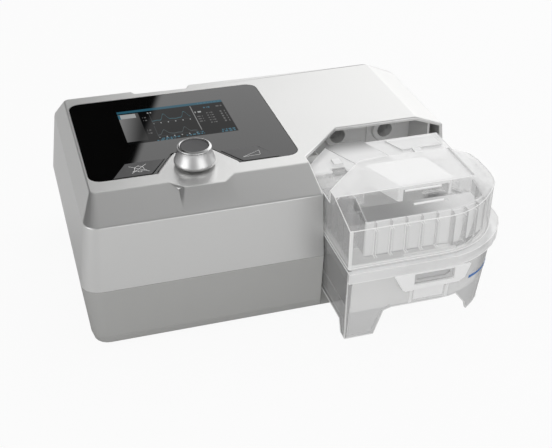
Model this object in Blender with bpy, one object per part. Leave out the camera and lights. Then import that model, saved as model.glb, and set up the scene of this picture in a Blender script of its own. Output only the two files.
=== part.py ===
"""Bilevel positive airway pressure machine with a drawer-like humidifier water tank.

Metres, +Z up.  The pieces are modelled in the machine's own frame: x runs right from the tank
bay's left wall, so that the display side lies at negative x, y runs back from the front of the
housing at its widest line (the seam), and z runs up from the table.  One parent empty then puts
the centre of the whole outline at the world origin.  The water tank stands part way out of its
bay, and its places are those of the pushed-in tank.
"""
import math

import bmesh
import bpy
from mathutils import Matrix, Vector

for leftover in list(bpy.data.objects):
    bpy.data.objects.remove(leftover, do_unlink=True)

# General values
SEAT_GAP = 0.0003
SLIDE_GAP = 0.0006
OVERRUN = 0.004
WALL = 0.0024
THIN_WALL = 0.0016
ROUND_SIDES = 32
SMALL_SIDES = 12
CORNER_STEPS = 5
FEW_STEPS = 3
SMOOTH_ANGLE = math.radians(35)
HAIR = SEAT_GAP / 10

# Housing: widest at the seam, drawn in to a ridge, then sloped up to a flat top
BODY_WIDTH = 0.265
TANK_SIDE_WIDTH = 0.1152
BODY_DEPTH = 0.1739
FOOT_PROUD = 0.001
SEAM_Z = 0.0452
RIDGE_Z = 0.0865
TOP_Z = 0.0943
BOTTOM_INSET = 0.0081
ROLL_HEIGHT = 0.008
ROLL_INSET = 0.0033
RIDGE_INSET = 0.0052
TOP_FROM_LEFT = 0.0130
TOP_FROM_RIGHT = 0.0251
TOP_FROM_FRONT = 0.0325
TOP_FROM_BACK = 0.0078
SEAM_CORNER = 0.0113
RIDGE_CORNER = 0.0095
TOP_CORNER = 0.0036
BOTTOM_CORNER = 0.0085
ROLL_MID_HEIGHT_SHARE = 0.3
ROLL_MID_INSET_SHARE = 0.32
CORNER_LEAST_SHARE = 0.4
BODY_RIGHT = TANK_SIDE_WIDTH
BODY_LEFT = TANK_SIDE_WIDTH - BODY_WIDTH

# Raised boss in front of the knob, measured from the knob's middle
BOSS_TO_LEFT = 0.0126
BOSS_TO_RIGHT = 0.0129
BOSS_FRONT = 0.0240
BOSS_FLARE = 0.0080
BOSS_FOOT_FLARE = 0.0050

# Bay for the tank, open at the front, the right and the top; its left wall is where x is nought
REAR_ROOM = 0.0619
BAY_LEFT = 0.0
BAY_BACK = BODY_DEPTH - REAR_ROOM
BAY_FLOOR_RIGHT = 0.0300
TANK_TO_BAY = 0.0060
TANK_FRONT = 0.0056
REAR_COVER_SHARE = 0.3297
LID_LEDGE = 0.0007
MOUTH_SIDE_SHARE = 0.5623
TANK_BACK = BAY_BACK - TANK_TO_BAY
LID_BACK = TANK_BACK - (TANK_BACK - TANK_FRONT) * REAR_COVER_SHARE
BAY_ROOF_X = 0.0315
BAY_ROOF_Y = LID_BACK - LID_LEDGE
BAY_MOUTH_SIDE_Y = BAY_ROOF_Y * MOUTH_SIDE_SHARE

# Hose recess in the back edge, with the outlet port in it
NOTCH_FROM_LEFT = 0.0583
NOTCH_WIDTH = 0.0450
NOTCH_LEFT = BODY_LEFT + NOTCH_FROM_LEFT
NOTCH_RIGHT = NOTCH_LEFT + NOTCH_WIDTH
NOTCH_DEPTH = 0.0125
NOTCH_RAMP = 0.0060
NOTCH_FLOOR_Z = 0.0380
PORT_OUTER_RADIUS = 0.0110
PORT_BORE_RADIUS = 0.0090
PORT_TAPER = 0.0004
PORT_REACH = 0.0210
PORT_FLANGE_RADIUS = 0.0145
PORT_FLANGE_THICK = 0.0020
PORT_Z = 0.0600

# Black display window and what is set in it
WINDOW_FROM_LEFT = 0.0147
WINDOW_FROM_BAY = 0.0019
WINDOW_FRONT = 0.0446
WINDOW_FROM_BACK = 0.0187
WINDOW_CORNER = 0.0078
WINDOW_THICK = 0.0012
WINDOW_RECESS = 0.0014
WINDOW_LEFT = BODY_LEFT + WINDOW_FROM_LEFT
WINDOW_RIGHT = BAY_LEFT - WINDOW_FROM_BAY
WINDOW_BACK = BODY_DEPTH - WINDOW_FROM_BACK
WINDOW_X = (WINDOW_LEFT + WINDOW_RIGHT) / 2
KNOB_ASIDE = 0.0007
KNOB_X = WINDOW_X - KNOB_ASIDE
LEFT_HALF = KNOB_X - WINDOW_LEFT
RIGHT_HALF = WINDOW_RIGHT - KNOB_X

# The part of the top round the knob that cuts into the window, as shares of the window's halves
CUT_LEFT_SHARES = (0.385, 0.168)
CUT_RIGHT_SHARES = (0.4175, 0.2065)
CUT_BACK = 0.0680
CUT_CORNER = 0.0040
PANEL_WIDTH_SHARE = 0.551
PANEL_DEPTH_SHARE = 0.562
PANEL_ASIDE = 0.0006
PANEL_RIM = 0.0022
PANEL_WIDTH = (WINDOW_RIGHT - WINDOW_LEFT) * PANEL_WIDTH_SHARE
PANEL_DEPTH = (WINDOW_BACK - CUT_BACK) * PANEL_DEPTH_SHARE
PANEL_LEFT = WINDOW_X + PANEL_ASIDE - PANEL_WIDTH / 2
PANEL_FRONT = (CUT_BACK + WINDOW_BACK - PANEL_DEPTH) / 2

# Keys beside the knob: both ends of the front edge and of the back edge, as shares of a half
KEY_FRONT = 0.0452
KEY_BACK = 0.0618
MUTE_FRONT_SHARES = (0.786, 0.422)
MUTE_BACK_SHARES = (0.637, 0.255)
RAMP_FRONT_SHARES = (0.449, 0.793)
RAMP_BACK_SHARES = (0.291, 0.645)
MUTE_FRONT_X = [KNOB_X - LEFT_HALF * share for share in MUTE_FRONT_SHARES]
MUTE_BACK_X = [KNOB_X - LEFT_HALF * share for share in MUTE_BACK_SHARES]
RAMP_FRONT_X = [KNOB_X + RIGHT_HALF * share for share in RAMP_FRONT_SHARES]
RAMP_BACK_X = [KNOB_X + RIGHT_HALF * share for share in RAMP_BACK_SHARES]
KEY_PROUD = 0.0003
KEY_HEIGHT = 0.0030
KEY_TRAVEL = 0.0008
KEY_GAP = 0.0004
KEY_STEM_RADIUS = 0.0018
SWITCH_WIDTH = 0.0060
SWITCH_HEIGHT = 0.0034

# Knob on its push encoder
KNOB_Y = 0.0501
KNOB_BASE_RADIUS = 0.0131
KNOB_RIM_RADIUS = 0.0108
KNOB_WAIST_RADIUS = 0.0103
KNOB_DISC_RADIUS = 0.0087
KNOB_LIFT = 0.0013
KNOB_HEIGHT = 0.0122
KNOB_SKIRT_HEIGHT = 0.0016
KNOB_WALL = 0.0014
KNOB_DISC_SINK = 0.0006
KNOB_DISC_THICK = 0.0010
KNOB_TRAVEL = 0.0009
KNOB_FLARE_POWER = 2.6
SHAFT_RADIUS = 0.0030
SHAFT_FLAT = 0.0010
ENCODER_WIDTH = 0.0125
ENCODER_HEIGHT = 0.0066
BUSH_RADIUS = 0.0044

# Boards under the top
BOARD_THICK = 0.0016
BOARD_FROM_LEFT = 0.0160
BOARD_FROM_BAY = 0.0058
BOARD_Z = 0.0818
POST_RADIUS = 0.0032
POST_EDGE = 0.0051
BOARD_LEFT = BODY_LEFT + BOARD_FROM_LEFT
BOARD_RIGHT = BAY_LEFT - BOARD_FROM_BAY
BOARD_FRONT = KEY_FRONT - KEY_GAP - SLIDE_GAP - POST_RADIUS - POST_EDGE
BOARD_BACK = PANEL_FRONT + PANEL_DEPTH + PANEL_RIM + SLIDE_GAP + POST_RADIUS + POST_EDGE
POWER_BOARD_FROM_INLET = 0.0070
POWER_BOARD_FROM_RIGHT = 0.0150
POWER_BOARD_FROM_BAY = 0.0070
POWER_BOARD_FROM_BACK = 0.0139
POWER_BOARD_Z = 0.0120
COIL_BORE_SHARE = 0.4
COIL_SIZE = 0.0200
COIL_HEIGHT = 0.0160

# Blower: a wheel in a two-part scroll, on rubber mounts
BLOWER_FROM_BACK = 0.0939
BLOWER_Z = 0.0100
SCROLL_RADIUS = 0.0340
SCROLL_GROWTH = 0.0100
SCROLL_HEIGHT = 0.0300
SCROLL_STEPS = 36
EYE_RADIUS = 0.0120
WHEEL_RADIUS = 0.0270
WHEEL_HEIGHT = 0.0100
WHEEL_DISC = 0.0014
BLADE_COUNT = 11
BLADE_THICK = 0.0010
MOTOR_RADIUS = 0.0130
MOTOR_HEIGHT = 0.0100
SPINDLE_RADIUS = 0.0015
MOUNT_RADIUS = 0.0050
MOUNT_FROM_RIM = 0.0100
MOUNT_SPREAD = SCROLL_RADIUS - MOUNT_FROM_RIM
MOUNT_TURN_SHARES = (1 / 12, 5 / 12, 9 / 12)
NOZZLE_RADIUS = 0.0073
BLADE_RUN_SHARES = (0, 1 / 3, 2 / 3, 1)

# Air path behind the bay
DUCT_RADIUS = 0.0085
DUCT_WALL = 0.0012
DUCT_RISE_SHARES = (0.1, 0.333, 0.667)
RETURN_PORT_TO_STEP = 0.0180
PORT_SPREAD = 0.0360
BAY_PORT_Z = 0.0690
BAY_PORT_RADIUS = 0.0072
SEAL_RADIUS = 0.0096
LINER_WALL = 0.0018
LINER_TO_STEP = 0.0025
FRAME_PROUD = 0.0012
FRAME_TO_PORT = 0.0130
FRAME_TOP = 0.0800
FRAME_BOTTOM = 0.0540

# Air inlet at the back: filter, cover and muffler
INLET_FROM_NOTCH = 0.0117
INLET_WIDTH = 0.0460
INLET_LEFT = NOTCH_RIGHT + INLET_FROM_NOTCH
INLET_RIGHT = INLET_LEFT + INLET_WIDTH
INLET_LOW = 0.0160
INLET_HIGH = 0.0415
FILTER_THICK = 0.0060
MUFFLER_DEPTH = 0.0180
COVER_THICK = 0.0022
COVER_OVERLAP = 0.0030
COVER_SLOTS = 7
COVER_SLOT_SHARE = 0.5

# Power inlet and memory card, also at the back
JACK_FROM_RIGHT = 0.0440
JACK_X = BODY_RIGHT - JACK_FROM_RIGHT
JACK_Z = 0.0220
JACK_RADIUS = 0.0058
JACK_BORE = 0.0036
JACK_DEPTH = 0.0130
JACK_PIN = 0.0010
CARD_FROM_LEFT = 0.0330
CARD_X = BODY_LEFT + CARD_FROM_LEFT
CARD_Z = 0.0270
CARD_WIDTH = 0.0240
CARD_THICK = 0.0021
CARD_LENGTH = 0.0320
CARD_PROUD = 0.0012
CARD_SOCKET_WALL = 0.0012

# Heater under the tank
HEATER_TO_LEFT = 0.0216
HEATER_TO_RIGHT = 0.0235
HEATER_FRONT = 0.0300
HEATER_FROM_BACK = 0.0160
HEATER_BACK = TANK_BACK - HEATER_FROM_BACK
HEATER_PLATE = 0.0030
HEATER_CORNER = 0.0080
HEATER_RIM = 0.0012
FOOT_RADIUS = 0.0070
FOOT_INSET = 0.0260
SCREW_RADIUS = 0.0030

# Water tank.  Its places are those of the pushed-in tank; TANK_PULL draws it out
TANK_PULL = 0.04495
TANK_LEFT = BAY_LEFT + SLIDE_GAP
TANK_FROM_RIGHT = 0.0055
TANK_RIGHT = BODY_RIGHT - TANK_FROM_RIGHT
TANK_X = (TANK_LEFT + TANK_RIGHT) / 2
TANK_STEP_WIDTH = 0.0095
TANK_STEP_DEPTH = 0.0270
TANK_STEP_LENGTH = 0.0155
TANK_STEP_X = TANK_RIGHT - TANK_STEP_WIDTH
TANK_STEP_BACK = TANK_BACK - TANK_STEP_DEPTH
TANK_STEP_Y = TANK_STEP_BACK - TANK_STEP_LENGTH
TANK_ROUND_FULL = 0.0464
TANK_SIDE_RUN = 0.0030
TANK_ROUND = min(TANK_ROUND_FULL, TANK_STEP_Y - TANK_FRONT - TANK_SIDE_RUN)
STEP_BEND_SHARES = (0.3, 0.75)
ROUND_STEPS = 10
TANK_CORNER_X = 0.0200
TANK_CORNER_Y = 0.0222
TANK_WALL = 0.0020
FLANGE_LOW = 0.0515
FLANGE_HIGH = 0.0583
FLANGE_PROUD = 0.0026
LID_LOW = 0.0606
LID_STEP_Z = 0.0862
LID_WALL = 0.0018
TUB_FLOOR_Z = 0.0250
TUB_BOTTOM_Z = 0.0042
TUB_TAPER = 0.0056
SKIRT_SIDE_Z = 0.0142
ARCH_TOP_Z = 0.0247
ARCH_FROM_MIDDLE = (-0.0335, -0.0288, -0.0240, 0.0202, 0.0297, 0.0318)
ARCH_Z = (0.0042, 0.0229, 0.0247, 0.0247, 0.0108, 0.0042)
LEFT_FOOT_BACK = 0.0170
RIGHT_FOOT_BACK = 0.0290
FOOT_RAKE = 0.0030
BASE_PLATE = 0.0010
RIM_SEAL_INSET = 0.0012
RIM_SEAL_WIDTH = 0.0026
RIB_PITCH = 0.0098
RIB_THICK = 0.0014
RIB_DEPTH = 0.0030
RIB_LOW = 0.0645
TROUGH_FROM_MIDDLE = (-0.0066, -0.0216)
TROUGH_RADIUS = 0.0160
TROUGH_DEPTH = 0.0070
RIB_START_SHARE = 1.6
GRIP_LENGTH = 0.0230
GRIP_WIDTH = 0.0017
GRIP_END_SHARE = 0.4
GRIP_PROUD = 0.0010
GRIP_Y = (0.0172, 0.0268)
HANDLE_FROM_MIDDLE = (-0.0258, -0.0197, -0.0175, 0.0175, 0.0212, 0.0246)
HANDLE_Z = (0.0512, 0.0399, 0.0386, 0.0394, 0.0418, 0.0512)
HANDLE_THICK = 0.0019
CATCH_WIDTH = 0.0262
CATCH_ASIDE = 0.0009
CATCH_LEFT = TANK_X + CATCH_ASIDE - CATCH_WIDTH / 2
CATCH_RIGHT = CATCH_LEFT + CATCH_WIDTH
CATCH_LOW = 0.0424
CATCH_HIGH = 0.0502
CATCH_THICK = 0.0036
CATCH_SCOOP = 0.0012
CATCH_POCKET = 0.0120
AIR_GUIDE_BACK_FROM_MIDDLE = (-0.0220, 0.0190)
LID_WINDOW_FROM_MIDDLE = (-0.0190, 0.0230)
AIR_GUIDE_FRONT_FROM_MIDDLE = (-0.0102, 0.0266)
AIR_GUIDE_FRONT_SHARE = 0.203
AIR_GUIDE_LIP = 0.0040
AIR_GUIDE_DROP = 0.0120
HINGE_RADIUS = 0.0012
HINGE_BEHIND = 0.0035
HINGE_Y = LID_BACK + HINGE_BEHIND
HINGE_Z = 0.0834
HINGE_TO_LEFT = 0.0188
HINGE_TO_RIGHT = 0.0341
HINGE_X = {"left": TANK_LEFT + HINGE_TO_LEFT, "right": TANK_RIGHT - HINGE_TO_RIGHT}
KNUCKLE_RADIUS = 0.0024
KNUCKLE_LENGTH = 0.0080
HINGE_EAR = 0.0045

# On top of the rear cover: a pad beside the trough and two snap hooks
REAR_PAD_FRONT_FROM_MIDDLE = (0.0123, 0.0409)
REAR_PAD_BACK_FROM_MIDDLE = (0.0061, 0.0400)
REAR_PAD_Y = (0.0150, 0.0300)
REAR_PAD_PROUD = 0.0012
HOOKS_FROM_MIDDLE = (-0.0340, 0.0220)
HOOK_WIDTH = 0.0056
HOOK_DEPTH = 0.0050
HOOK_Y = 0.0100
HOOK_PROUD = 0.0016
HOOK_LIP_SHARE = 0.4

SUPPLY_PORT_X = TANK_STEP_X - RETURN_PORT_TO_STEP - PORT_SPREAD
RETURN_PORT_X = TANK_STEP_X - RETURN_PORT_TO_STEP
LINER_RIGHT = TANK_STEP_X + LINER_TO_STEP
FRAME_LEFT = RETURN_PORT_X - FRAME_TO_PORT
HEATER_LEFT = TANK_LEFT + HEATER_TO_LEFT
HEATER_RIGHT = TANK_RIGHT - HEATER_TO_RIGHT
ARCH_X = [TANK_X + step for step in ARCH_FROM_MIDDLE]
HANDLE_X = [TANK_X + step for step in HANDLE_FROM_MIDDLE]
AIR_GUIDE_BACK_X = [TANK_X + step for step in AIR_GUIDE_BACK_FROM_MIDDLE]
LID_WINDOW_X = [TANK_X + step for step in LID_WINDOW_FROM_MIDDLE]
AIR_GUIDE_FRONT_X = [TANK_X + step for step in AIR_GUIDE_FRONT_FROM_MIDDLE]
REAR_PAD_FRONT_X = [TANK_X + step for step in REAR_PAD_FRONT_FROM_MIDDLE]
REAR_PAD_BACK_X = [TANK_X + step for step in REAR_PAD_BACK_FROM_MIDDLE]
HOOK_X = [TANK_X + step for step in HOOKS_FROM_MIDDLE]
TROUGH_X = [TANK_X + step for step in TROUGH_FROM_MIDDLE]
BODY_BOTTOM = FOOT_PROUD
FLOOR_TOP = BODY_BOTTOM + WALL
OUTLET_X = (NOTCH_LEFT + NOTCH_RIGHT) / 2
PORT_FACE_Y = BODY_DEPTH - NOTCH_DEPTH
FULL_BACK_Y = PORT_FACE_Y + PORT_REACH
FULL_FRONT_Y = TANK_FRONT - FLANGE_PROUD - TANK_PULL
CENTRE_X = (BODY_LEFT + BODY_RIGHT) / 2
CENTRE_Y = (FULL_FRONT_Y + FULL_BACK_Y) / 2
UNDER_TOP = TOP_Z - WALL
AIR_GUIDE_BACK = BAY_ROOF_Y - SLIDE_GAP - LID_WALL - SEAT_GAP
AIR_GUIDE_FRONT = TOP_FROM_FRONT + (AIR_GUIDE_BACK - TOP_FROM_FRONT) * AIR_GUIDE_FRONT_SHARE


# Finishes

def finish(name, colour, roughness, metallic=0.0, alpha=1.0):
    """One Principled material with the piece's colour."""
    material = bpy.data.materials.new(name)
    material.use_nodes = True
    shader = material.node_tree.nodes["Principled BSDF"]
    shader.inputs["Base Color"].default_value = (*colour, 1.0)
    shader.inputs["Roughness"].default_value = roughness
    shader.inputs["Metallic"].default_value = metallic
    shader.inputs["Alpha"].default_value = alpha
    return material


SILVER = finish("silver_paint", (0.62, 0.62, 0.61), 0.38, 0.25)
GREY_PLASTIC = finish("grey_plastic", (0.30, 0.30, 0.30), 0.55)
DARK_PLASTIC = finish("dark_plastic", (0.05, 0.05, 0.055), 0.5)
BLACK_GLASS = finish("black_glass", (0.01, 0.01, 0.012), 0.06)
LCD_FINISH = finish("lcd_panel", (0.03, 0.05, 0.08), 0.3)
KEY_FINISH = finish("key_grey", (0.06, 0.06, 0.06), 0.4)
CHROME = finish("satin_chrome", (0.72, 0.72, 0.72), 0.22, 1.0)
CLEAR = finish("clear_plastic", (0.85, 0.87, 0.88), 0.08, 0.0, 0.35)
WHITE_PLASTIC = finish("white_plastic", (0.86, 0.86, 0.86), 0.4)
RUBBER = finish("rubber", (0.04, 0.04, 0.04), 0.85)
SILICONE = finish("silicone", (0.45, 0.46, 0.47), 0.6)
ALUMINIUM = finish("aluminium", (0.66, 0.66, 0.66), 0.35, 1.0)
STEEL = finish("steel", (0.55, 0.55, 0.55), 0.3, 1.0)
BOARD_GREEN = finish("circuit_board", (0.02, 0.16, 0.07), 0.5)
FOAM = finish("filter_foam", (0.75, 0.75, 0.72), 0.95)


# Outlines, as lists of (x, y)

def arc(centre_x, centre_y, radius, start, end, steps):
    """Points along an arc, angles in degrees, both ends included."""
    points = []
    for step in range(steps + 1):
        angle = math.radians(start + (end - start) * step / steps)
        points.append((centre_x + radius * math.cos(angle), centre_y + radius * math.sin(angle)))
    return points


def rounded_rectangle(left, front, right, back, radius, steps=CORNER_STEPS):
    """A rectangle with round corners, counter-clockwise from its front right corner."""
    return (
        arc(right - radius, front + radius, radius, -90, 0, steps)
        + arc(right - radius, back - radius, radius, 0, 90, steps)
        + arc(left + radius, back - radius, radius, 90, 180, steps)
        + arc(left + radius, front + radius, radius, 180, 270, steps)
    )


def rounded_corners(points, radius, steps=CORNER_STEPS):
    """The same outline with each corner replaced by an arc tangent to both its edges."""
    rounded = []
    for index, corner in enumerate(points):
        here = Vector(corner)
        before = (Vector(points[index - 1]) - here).normalized()
        after = (Vector(points[(index + 1) % len(points)]) - here).normalized()
        half = before.angle(after) / 2
        centre = here + (before + after).normalized() * (radius / math.sin(half))
        first = here + before * (radius / math.tan(half)) - centre
        last = here + after * (radius / math.tan(half)) - centre
        turn = first.angle_signed(last)
        for step in range(steps + 1):
            angle = -turn * step / steps
            spoke = Vector((
                first.x * math.cos(angle) - first.y * math.sin(angle),
                first.x * math.sin(angle) + first.y * math.cos(angle),
            ))
            rounded.append(tuple(centre + spoke))
    return rounded


def inset_outline(points, distance):
    """A counter-clockwise outline moved inward by a distance, corner by corner."""
    moved = []
    for index, corner in enumerate(points):
        here = Vector(corner)
        into = (here - Vector(points[index - 1])).normalized()
        out = (Vector(points[(index + 1) % len(points)]) - here).normalized()
        inward_in = Vector((-into.y, into.x))
        inward_out = Vector((-out.y, out.x))
        mean = inward_in + inward_out
        moved.append(tuple(here + mean * (2 * distance / mean.length_squared)))
    return moved


# Meshes

def prism(points, low, high, axis="z"):
    """An outline given thickness: z lifts (x, y), y pushes (x, z) back, x pushes (y, z) right."""
    bm = bmesh.new()
    places = {
        "z": lambda a, b: (a, b, low),
        "y": lambda a, b: (a, low, b),
        "x": lambda a, b: (low, a, b),
    }[axis]
    shift = {"z": (0, 0, high - low), "y": (0, high - low, 0), "x": (high - low, 0, 0)}[axis]
    base = bm.faces.new([bm.verts.new(places(a, b)) for a, b in points])
    grown = bmesh.ops.extrude_face_region(bm, geom=[base], use_keep_orig=True)
    raised = [item for item in grown["geom"] if isinstance(item, bmesh.types.BMVert)]
    bmesh.ops.translate(bm, verts=raised, vec=shift)
    return bm


def block(left, front, low, right, back, high):
    """A plain block between two corners."""
    return prism([(left, front), (right, front), (right, back), (left, back)], low, high)


def loft(sections):
    """A solid through closed sections of equal point counts, each a list of (x, y, z)."""
    bm = bmesh.new()
    rings = [[bm.verts.new(point) for point in section] for section in sections]
    for lower, upper in zip(rings, rings[1:]):
        for index in range(len(lower)):
            following = (index + 1) % len(lower)
            bm.faces.new((lower[index], lower[following], upper[following], upper[index]))
    bm.faces.new(list(reversed(rings[0])))
    bm.faces.new(rings[-1])
    return bm


def turned(profile, centre, axis="z", sides=ROUND_SIDES):
    """A closed profile of (radius, height) turned about an axis through the centre."""
    bm = bmesh.new()
    along = {"z": (0, 2, 1), "y": (0, 1, 2)}[axis]
    verts = []
    for radius, height in profile:
        place = [0.0, 0.0, 0.0]
        place[along[0]] = radius
        place[along[1]] = height
        verts.append(bm.verts.new(place))
    edges = [bm.edges.new((verts[i], verts[(i + 1) % len(verts)])) for i in range(len(verts))]
    turn_axis = {"z": (0, 0, 1), "y": (0, 1, 0)}[axis]
    bmesh.ops.spin(bm, geom=verts + edges, cent=(0, 0, 0), axis=turn_axis,
                   angle=math.tau, steps=sides, use_merge=True)
    bmesh.ops.remove_doubles(bm, verts=bm.verts, dist=SEAT_GAP / ROUND_SIDES)
    loose = [edge for edge in bm.edges if len(edge.link_faces) != 2]
    bmesh.ops.delete(bm, geom=loose, context="EDGES")
    bmesh.ops.translate(bm, verts=bm.verts, vec=centre)
    return bm


def ring(outer, bore, low, high, centre, sides=SMALL_SIDES):
    """A round plate with a hole through its middle."""
    profile = [(bore, low), (outer, low), (outer, high), (bore, high)]
    return turned(profile, centre, "z", sides)


def rod(radius, low, high, centre, axis="z", sides=ROUND_SIDES):
    """A solid round bar as an extruded many-sided outline."""
    outline = arc(0, 0, radius, 0, 360 * (sides - 1) / sides, sides - 1)
    bm = prism(outline, low, high, axis)
    bmesh.ops.translate(bm, verts=bm.verts, vec=centre)
    return bm


def pipe(route, outer, inner, sides=SMALL_SIDES):
    """A bent tube with its bore, along points joined by straight runs."""
    bm = bmesh.new()
    places = [Vector(point) for point in route]
    rings = {outer: [], inner: []}
    side = Vector((0, 0, 1))
    for index, place in enumerate(places):
        ahead = places[min(index + 1, len(places) - 1)] - places[max(index - 1, 0)]
        ahead.normalize()
        across = ahead.cross(side).normalized()
        up = across.cross(ahead)
        for radius, ring in rings.items():
            ring.append([
                bm.verts.new(place + radius * (
                    across * math.cos(math.tau * k / sides) + up * math.sin(math.tau * k / sides)))
                for k in range(sides)
            ])
    for ring in rings.values():
        for near, far in zip(ring, ring[1:]):
            for k in range(sides):
                bm.faces.new((near[k], near[(k + 1) % sides], far[(k + 1) % sides], far[k]))
    for end in (0, -1):
        for k in range(sides):
            following = (k + 1) % sides
            bm.faces.new((
                rings[outer][end][k], rings[outer][end][following],
                rings[inner][end][following], rings[inner][end][k],
            ))
    return bm


def smooth_route(points, steps):
    """A curve through the given places that keeps each run's own length in its bends."""
    places = [Vector(point) for point in points]
    last = len(places) - 1
    headings = [
        (places[min(index + 1, last)] - places[max(index - 1, 0)]).normalized()
        for index in range(len(places))
    ]
    headings[1] = headings[0]
    headings[last - 1] = headings[last]
    route = []
    for index in range(last):
        near, far = places[index], places[index + 1]
        span = (far - near).length
        for step in range(steps):
            t = step / steps
            route.append(
                near * (2 * t ** 3 - 3 * t ** 2 + 1) + far * (3 * t ** 2 - 2 * t ** 3)
                + headings[index] * (span * (t ** 3 - 2 * t ** 2 + t))
                + headings[index + 1] * (span * (t ** 3 - t ** 2)))
    route.append(places[-1])
    return route


def joined(parts):
    """Several separate bodies in one mesh."""
    whole = bmesh.new()
    for part in parts:
        mesh = bpy.data.meshes.new("gathered")
        part.to_mesh(mesh)
        part.free()
        whole.from_mesh(mesh)
        bpy.data.meshes.remove(mesh)
    return whole


# Objects

def empty(name, parent, location):
    """A parent frame, such as a joint's axis."""
    frame = bpy.data.objects.new(name, None)
    bpy.context.collection.objects.link(frame)
    frame.parent = parent
    frame.location = location
    return frame


def solid(name, bm, material, parent, origin=(0, 0, 0), smooth=False):
    """A finished piece whose own origin lies at the given place of its parent's frame."""
    bmesh.ops.recalc_face_normals(bm, faces=bm.faces)
    bmesh.ops.translate(bm, verts=bm.verts, vec=-Vector(origin))
    mesh = bpy.data.meshes.new(name)
    bm.to_mesh(mesh)
    bm.free()
    if smooth:
        mesh.shade_smooth()
        mesh.set_sharp_from_angle(angle=SMOOTH_ANGLE)
    if material:
        mesh.materials.append(material)
    piece = bpy.data.objects.new(name, mesh)
    bpy.context.collection.objects.link(piece)
    piece.parent = parent
    piece.location = origin
    return piece


def tool(name, bm, parent, origin=(0, 0, 0)):
    """A guide solid that only shapes other pieces."""
    guide = solid(name, bm, None, parent, origin)
    guide.hide_render = True
    guide.display_type = "WIRE"
    return guide


def shape(piece, operation, *guides):
    """Boolean steps: DIFFERENCE, UNION or INTERSECT with each guide in turn."""
    for guide in guides:
        step = piece.modifiers.new(guide.name, "BOOLEAN")
        step.operation = operation
        step.object = guide
        step.solver = "EXACT"
    return piece


MACHINE = empty("machine", None, (-CENTRE_X, -CENTRE_Y, 0))


# Housing

def body_section(z, left, right, front, back, radius, shrink):
    """One level of the housing's outline, all sides moved in by shrink."""
    outline = rounded_rectangle(
        BODY_LEFT + left + shrink, front + shrink, BODY_RIGHT - right - shrink,
        BODY_DEPTH - back - shrink, max(radius - shrink, radius * CORNER_LEAST_SHARE))
    return [(x, y, z) for x, y in outline]


def lower_levels(shrink, top):
    """The lower housing's levels from its rolled bottom edge to the seam."""
    low = BODY_BOTTOM + shrink
    mid_inset = ROLL_INSET + (BOTTOM_INSET - ROLL_INSET) * ROLL_MID_INSET_SHARE
    rows = [
        (low, BOTTOM_INSET, BOTTOM_CORNER),
        (low + ROLL_HEIGHT * ROLL_MID_HEIGHT_SHARE, mid_inset, BOTTOM_CORNER),
        (low + ROLL_HEIGHT, ROLL_INSET, RIDGE_CORNER),
        (top, 0, SEAM_CORNER),
    ]
    return [body_section(z, i, i, i, i, r, shrink) for z, i, r in rows]


def upper_levels(shrink, bottom):
    """The upper housing's levels from the seam over the ridge to the flat top."""
    return [
        body_section(bottom, 0, 0, 0, 0, SEAM_CORNER, shrink),
        body_section(RIDGE_Z - shrink / 2, *[RIDGE_INSET] * 4, RIDGE_CORNER, shrink),
        body_section(TOP_Z - shrink, TOP_FROM_LEFT, TOP_FROM_RIGHT, TOP_FROM_FRONT,
                     TOP_FROM_BACK, TOP_CORNER, shrink / 2),
    ]


def bay_mouth(clearance=0.0):
    """Plan of the bay's opening through the top, the front and the right side."""
    left = BAY_LEFT + clearance
    far = BODY_RIGHT + OVERRUN
    return [
        (left, -OVERRUN), (far, -OVERRUN), (far, BAY_ROOF_Y - clearance),
        (BAY_ROOF_X, BAY_ROOF_Y - clearance), (left, BAY_MOUTH_SIDE_Y - clearance),
    ]


def boss():
    """The knob's raised front: a wedge that runs down to the ridge."""
    boss_left = KNOB_X - BOSS_TO_LEFT
    boss_right = KNOB_X + BOSS_TO_RIGHT
    wide_left = boss_left - BOSS_FLARE
    wide_right = boss_right + BOSS_FLARE
    behind = TOP_FROM_FRONT + BOSS_FLARE / 2
    foot_z = RIDGE_Z - SEAT_GAP
    foot_y = RIDGE_INSET + SEAT_GAP
    top = [
        (wide_left, behind, TOP_Z), (wide_left, TOP_FROM_FRONT, TOP_Z),
        (boss_left, BOSS_FRONT, TOP_Z), (boss_right, BOSS_FRONT, TOP_Z),
        (wide_right, TOP_FROM_FRONT, TOP_Z), (wide_right, behind, TOP_Z),
    ]
    foot = [
        (wide_left, behind, foot_z), (wide_left - BOSS_FOOT_FLARE, TOP_FROM_FRONT, foot_z),
        (boss_left - BOSS_FOOT_FLARE, foot_y, foot_z), (boss_right + BOSS_FOOT_FLARE, foot_y, foot_z),
        (wide_right + BOSS_FOOT_FLARE, TOP_FROM_FRONT, foot_z), (wide_right, behind, foot_z),
    ]
    return loft([foot, top])


def key_outline(front_x, back_x, gap=0.0):
    """A key's trapezium, or its hole when a gap is given."""
    return [
        (front_x[0] - gap, KEY_FRONT - gap), (front_x[1] + gap, KEY_FRONT - gap),
        (back_x[1] + gap, KEY_BACK + gap), (back_x[0] - gap, KEY_BACK + gap),
    ]


def window_cutout(gap=0.0):
    """The part of the top that stands round the knob, where the black window is cut away."""
    front = WINDOW_FRONT - OVERRUN
    front_left, back_left = [KNOB_X - LEFT_HALF * share for share in CUT_LEFT_SHARES]
    front_right, back_right = [KNOB_X + RIGHT_HALF * share for share in CUT_RIGHT_SHARES]
    lean_left = (back_left - front_left) / (CUT_BACK - WINDOW_FRONT)
    lean_right = (front_right - back_right) / (CUT_BACK - WINDOW_FRONT)
    corners = [
        (front_left - lean_left * OVERRUN - gap, front),
        (front_right + lean_right * OVERRUN + gap, front),
        (back_right + gap, CUT_BACK + gap),
        (back_left - gap, CUT_BACK + gap),
    ]
    return rounded_corners(corners, CUT_CORNER)


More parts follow.
